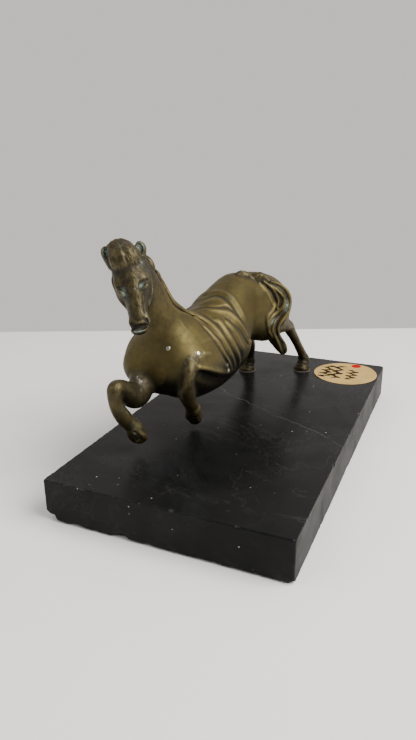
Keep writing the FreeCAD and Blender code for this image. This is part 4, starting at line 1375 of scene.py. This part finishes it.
def make_plugs():
    """Bright plugs of the core pins' holes, a hair proud of the skin and following it."""
    verts, faces = [], []
    for skin, inside in PLUGS:
        skin, inside = np.array(skin, float), np.array(inside, float)
        clay = build(skin - 4.5, skin + 4.5, 0.16)
        axis = (inside - skin)/np.linalg.norm(inside - skin)
        x, y, z = clay.coords((slice(None),)*3)
        x, y, z = x - skin[0], y - skin[1], z - skin[2]
        along = x*axis[0] + y*axis[1] + z*axis[2]
        rod = np.sqrt(np.maximum(x*x + y*y + z*z - along*along, 0)) - PLUG_RADIUS
        f = np.maximum(np.maximum(clay.f - PLUG_PROUD, rod), -clay.f - PLUG_DEPTH).astype(np.float32)
        v, q = surface_nets(f, clay.low, clay.step)
        if not len(q):
            continue
        v, q = largest(settle(clay, f, v), q)
        faces.append(q + sum(map(len, verts)))
        verts.append(v)
    points = np.vstack(verts)
    plugs = new_mesh("core_pin_plugs_bright", to_row(points), np.vstack(faces))
    dress(plugs, metal_shade("rubbed_plug", (0.74, 0.73, 0.66), (0.46, 0.43, 0.34), 0.22))
    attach(plugs, "root")
    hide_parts("core_pin_plugs")

# ---------------------------------------------------------------- the whole scene

def make_object():
    bronze = bronze_shade()
    for name in CASTINGS:
        dress(cast_piece(name), bronze)
    make_plugs()
    make_slab()
    make_label()
    make_felt()
    nodes = frame["nodes"]
    dress(nodes["hoof_bedding"], bedding_shade())
    turned = metal_shade("turned_bronze", (0.62, 0.46, 0.22), (0.48, 0.33, 0.15), 0.25)
    for name in ("neck_sleeve", "left_foreleg_pin", "right_foreleg_pin", "left_hind_leg_pin",
        "right_hind_leg_pin", "tail_pin"):
        dress(nodes[name], turned)
    zinc = metal_shade("zinc_steel", (0.62, 0.62, 0.63), (0.46, 0.46, 0.48), 0.28)
    for name in ("left_mounting_stud", "right_mounting_stud", "stud_washers", "stud_nuts"):
        dress(nodes[name], zinc)

def make_stage():
    # the camera's axes, place and lens come from a least-squares fit to the slab's edges in the photograph
    right, up = Vector((-0.4014, 0.9159, -0.0088)), Vector((-0.3136, -0.1284, 0.9408))
    ahead = Vector((-0.8606, -0.3804, -0.3387))
    eye = Vector((278.8, 100.7, 149.4))*MM
    camera = bpy.data.objects.new("camera", bpy.data.cameras.new("camera"))
    bpy.context.scene.collection.objects.link(camera)
    camera.matrix_world = Matrix((
        (right.x, up.x, -ahead.x, eye.x), (right.y, up.y, -ahead.y, eye.y),
        (right.z, up.z, -ahead.z, eye.z), (0, 0, 0, 1)))
    camera.data.lens, camera.data.sensor_width = 29.73, 36
    camera.data.clip_start, camera.data.clip_end = 0.01, 20
    bpy.context.scene.camera = camera

    flat = Vector((ahead.x, ahead.y, 0)).normalized()
    across = Vector((-flat.y, flat.x, 0))
    foot = Vector((eye.x, eye.y, 0))
    far, near, wide = foot + flat*0.519, foot - flat*3.0, 4.0
    s = Shade("pale_floor", roughness=0.55, specular=0.35)
    cloud = s.noise(7, 5, 0.6)
    s.set("Base Color", s.mix(s.span(cloud, 0.3, 0.7), (0.92, 0.905, 0.885), (0.88, 0.865, 0.85)))
    corners = [near - across*wide, near + across*wide, far + across*wide, far - across*wide]
    floor = new_mesh("floor", [tuple(c) for c in corners], [(0, 3, 2, 1)], smooth=False)
    if floor.data.polygons[0].normal.z < 0:
        floor.data.flip_normals()
    dress(floor, s.material)

    world = bpy.data.worlds.new("studio")
    bpy.context.scene.world = world
    world.use_nodes = True
    back = world.node_tree.nodes["Background"]
    back.inputs["Color"].default_value = (0.577, 0.552, 0.521, 1)
    # the room is bright overhead and beyond the object, dim on the near side
    nodes, links = world.node_tree.nodes, world.node_tree.links
    toward = nodes.new("ShaderNodeVectorMath")
    toward.operation = "DOT_PRODUCT"
    links.new(nodes.new("ShaderNodeTexCoord").outputs["Generated"], toward.inputs[0])
    toward.inputs[1].default_value = flat*0.6 + Vector((0, 0, 0.8))
    level = nodes.new("ShaderNodeMapRange")
    level.interpolation_type = "SMOOTHSTEP"
    links.new(toward.outputs["Value"], level.inputs["Value"])
    for key, value in (("From Min", -0.20), ("From Max", 0.30), ("To Min", WORLD_NEAR),
        ("To Max", WORLD_FAR)):
        level.inputs[key].default_value = value
    links.new(level.outputs[0], back.inputs["Strength"])
    for name, place, size, power, tint in LIGHTS:
        lamp = bpy.data.lights.new(name, "AREA")
        lamp.shape, lamp.size, lamp.energy, lamp.color = "DISK", size, power, tint
        holder = bpy.data.objects.new(name, lamp)
        bpy.context.scene.collection.objects.link(holder)
        holder.location = place
        aim = Vector((0, 0, 0.04)) - holder.location
        holder.rotation_euler = aim.to_track_quat("-Z", "Y").to_euler()

WORLD_NEAR, WORLD_FAR = 0.10, 1.33
LIGHTS = [
    ("key", (0.05, 0.58, 0.64), 0.70, 13.4, (1.0, 0.98, 0.95)),
    ("fill", (0.55, -0.45, 0.50), 0.60, 1.4, (0.95, 0.97, 1.0)),
]

make_object()
make_stage()
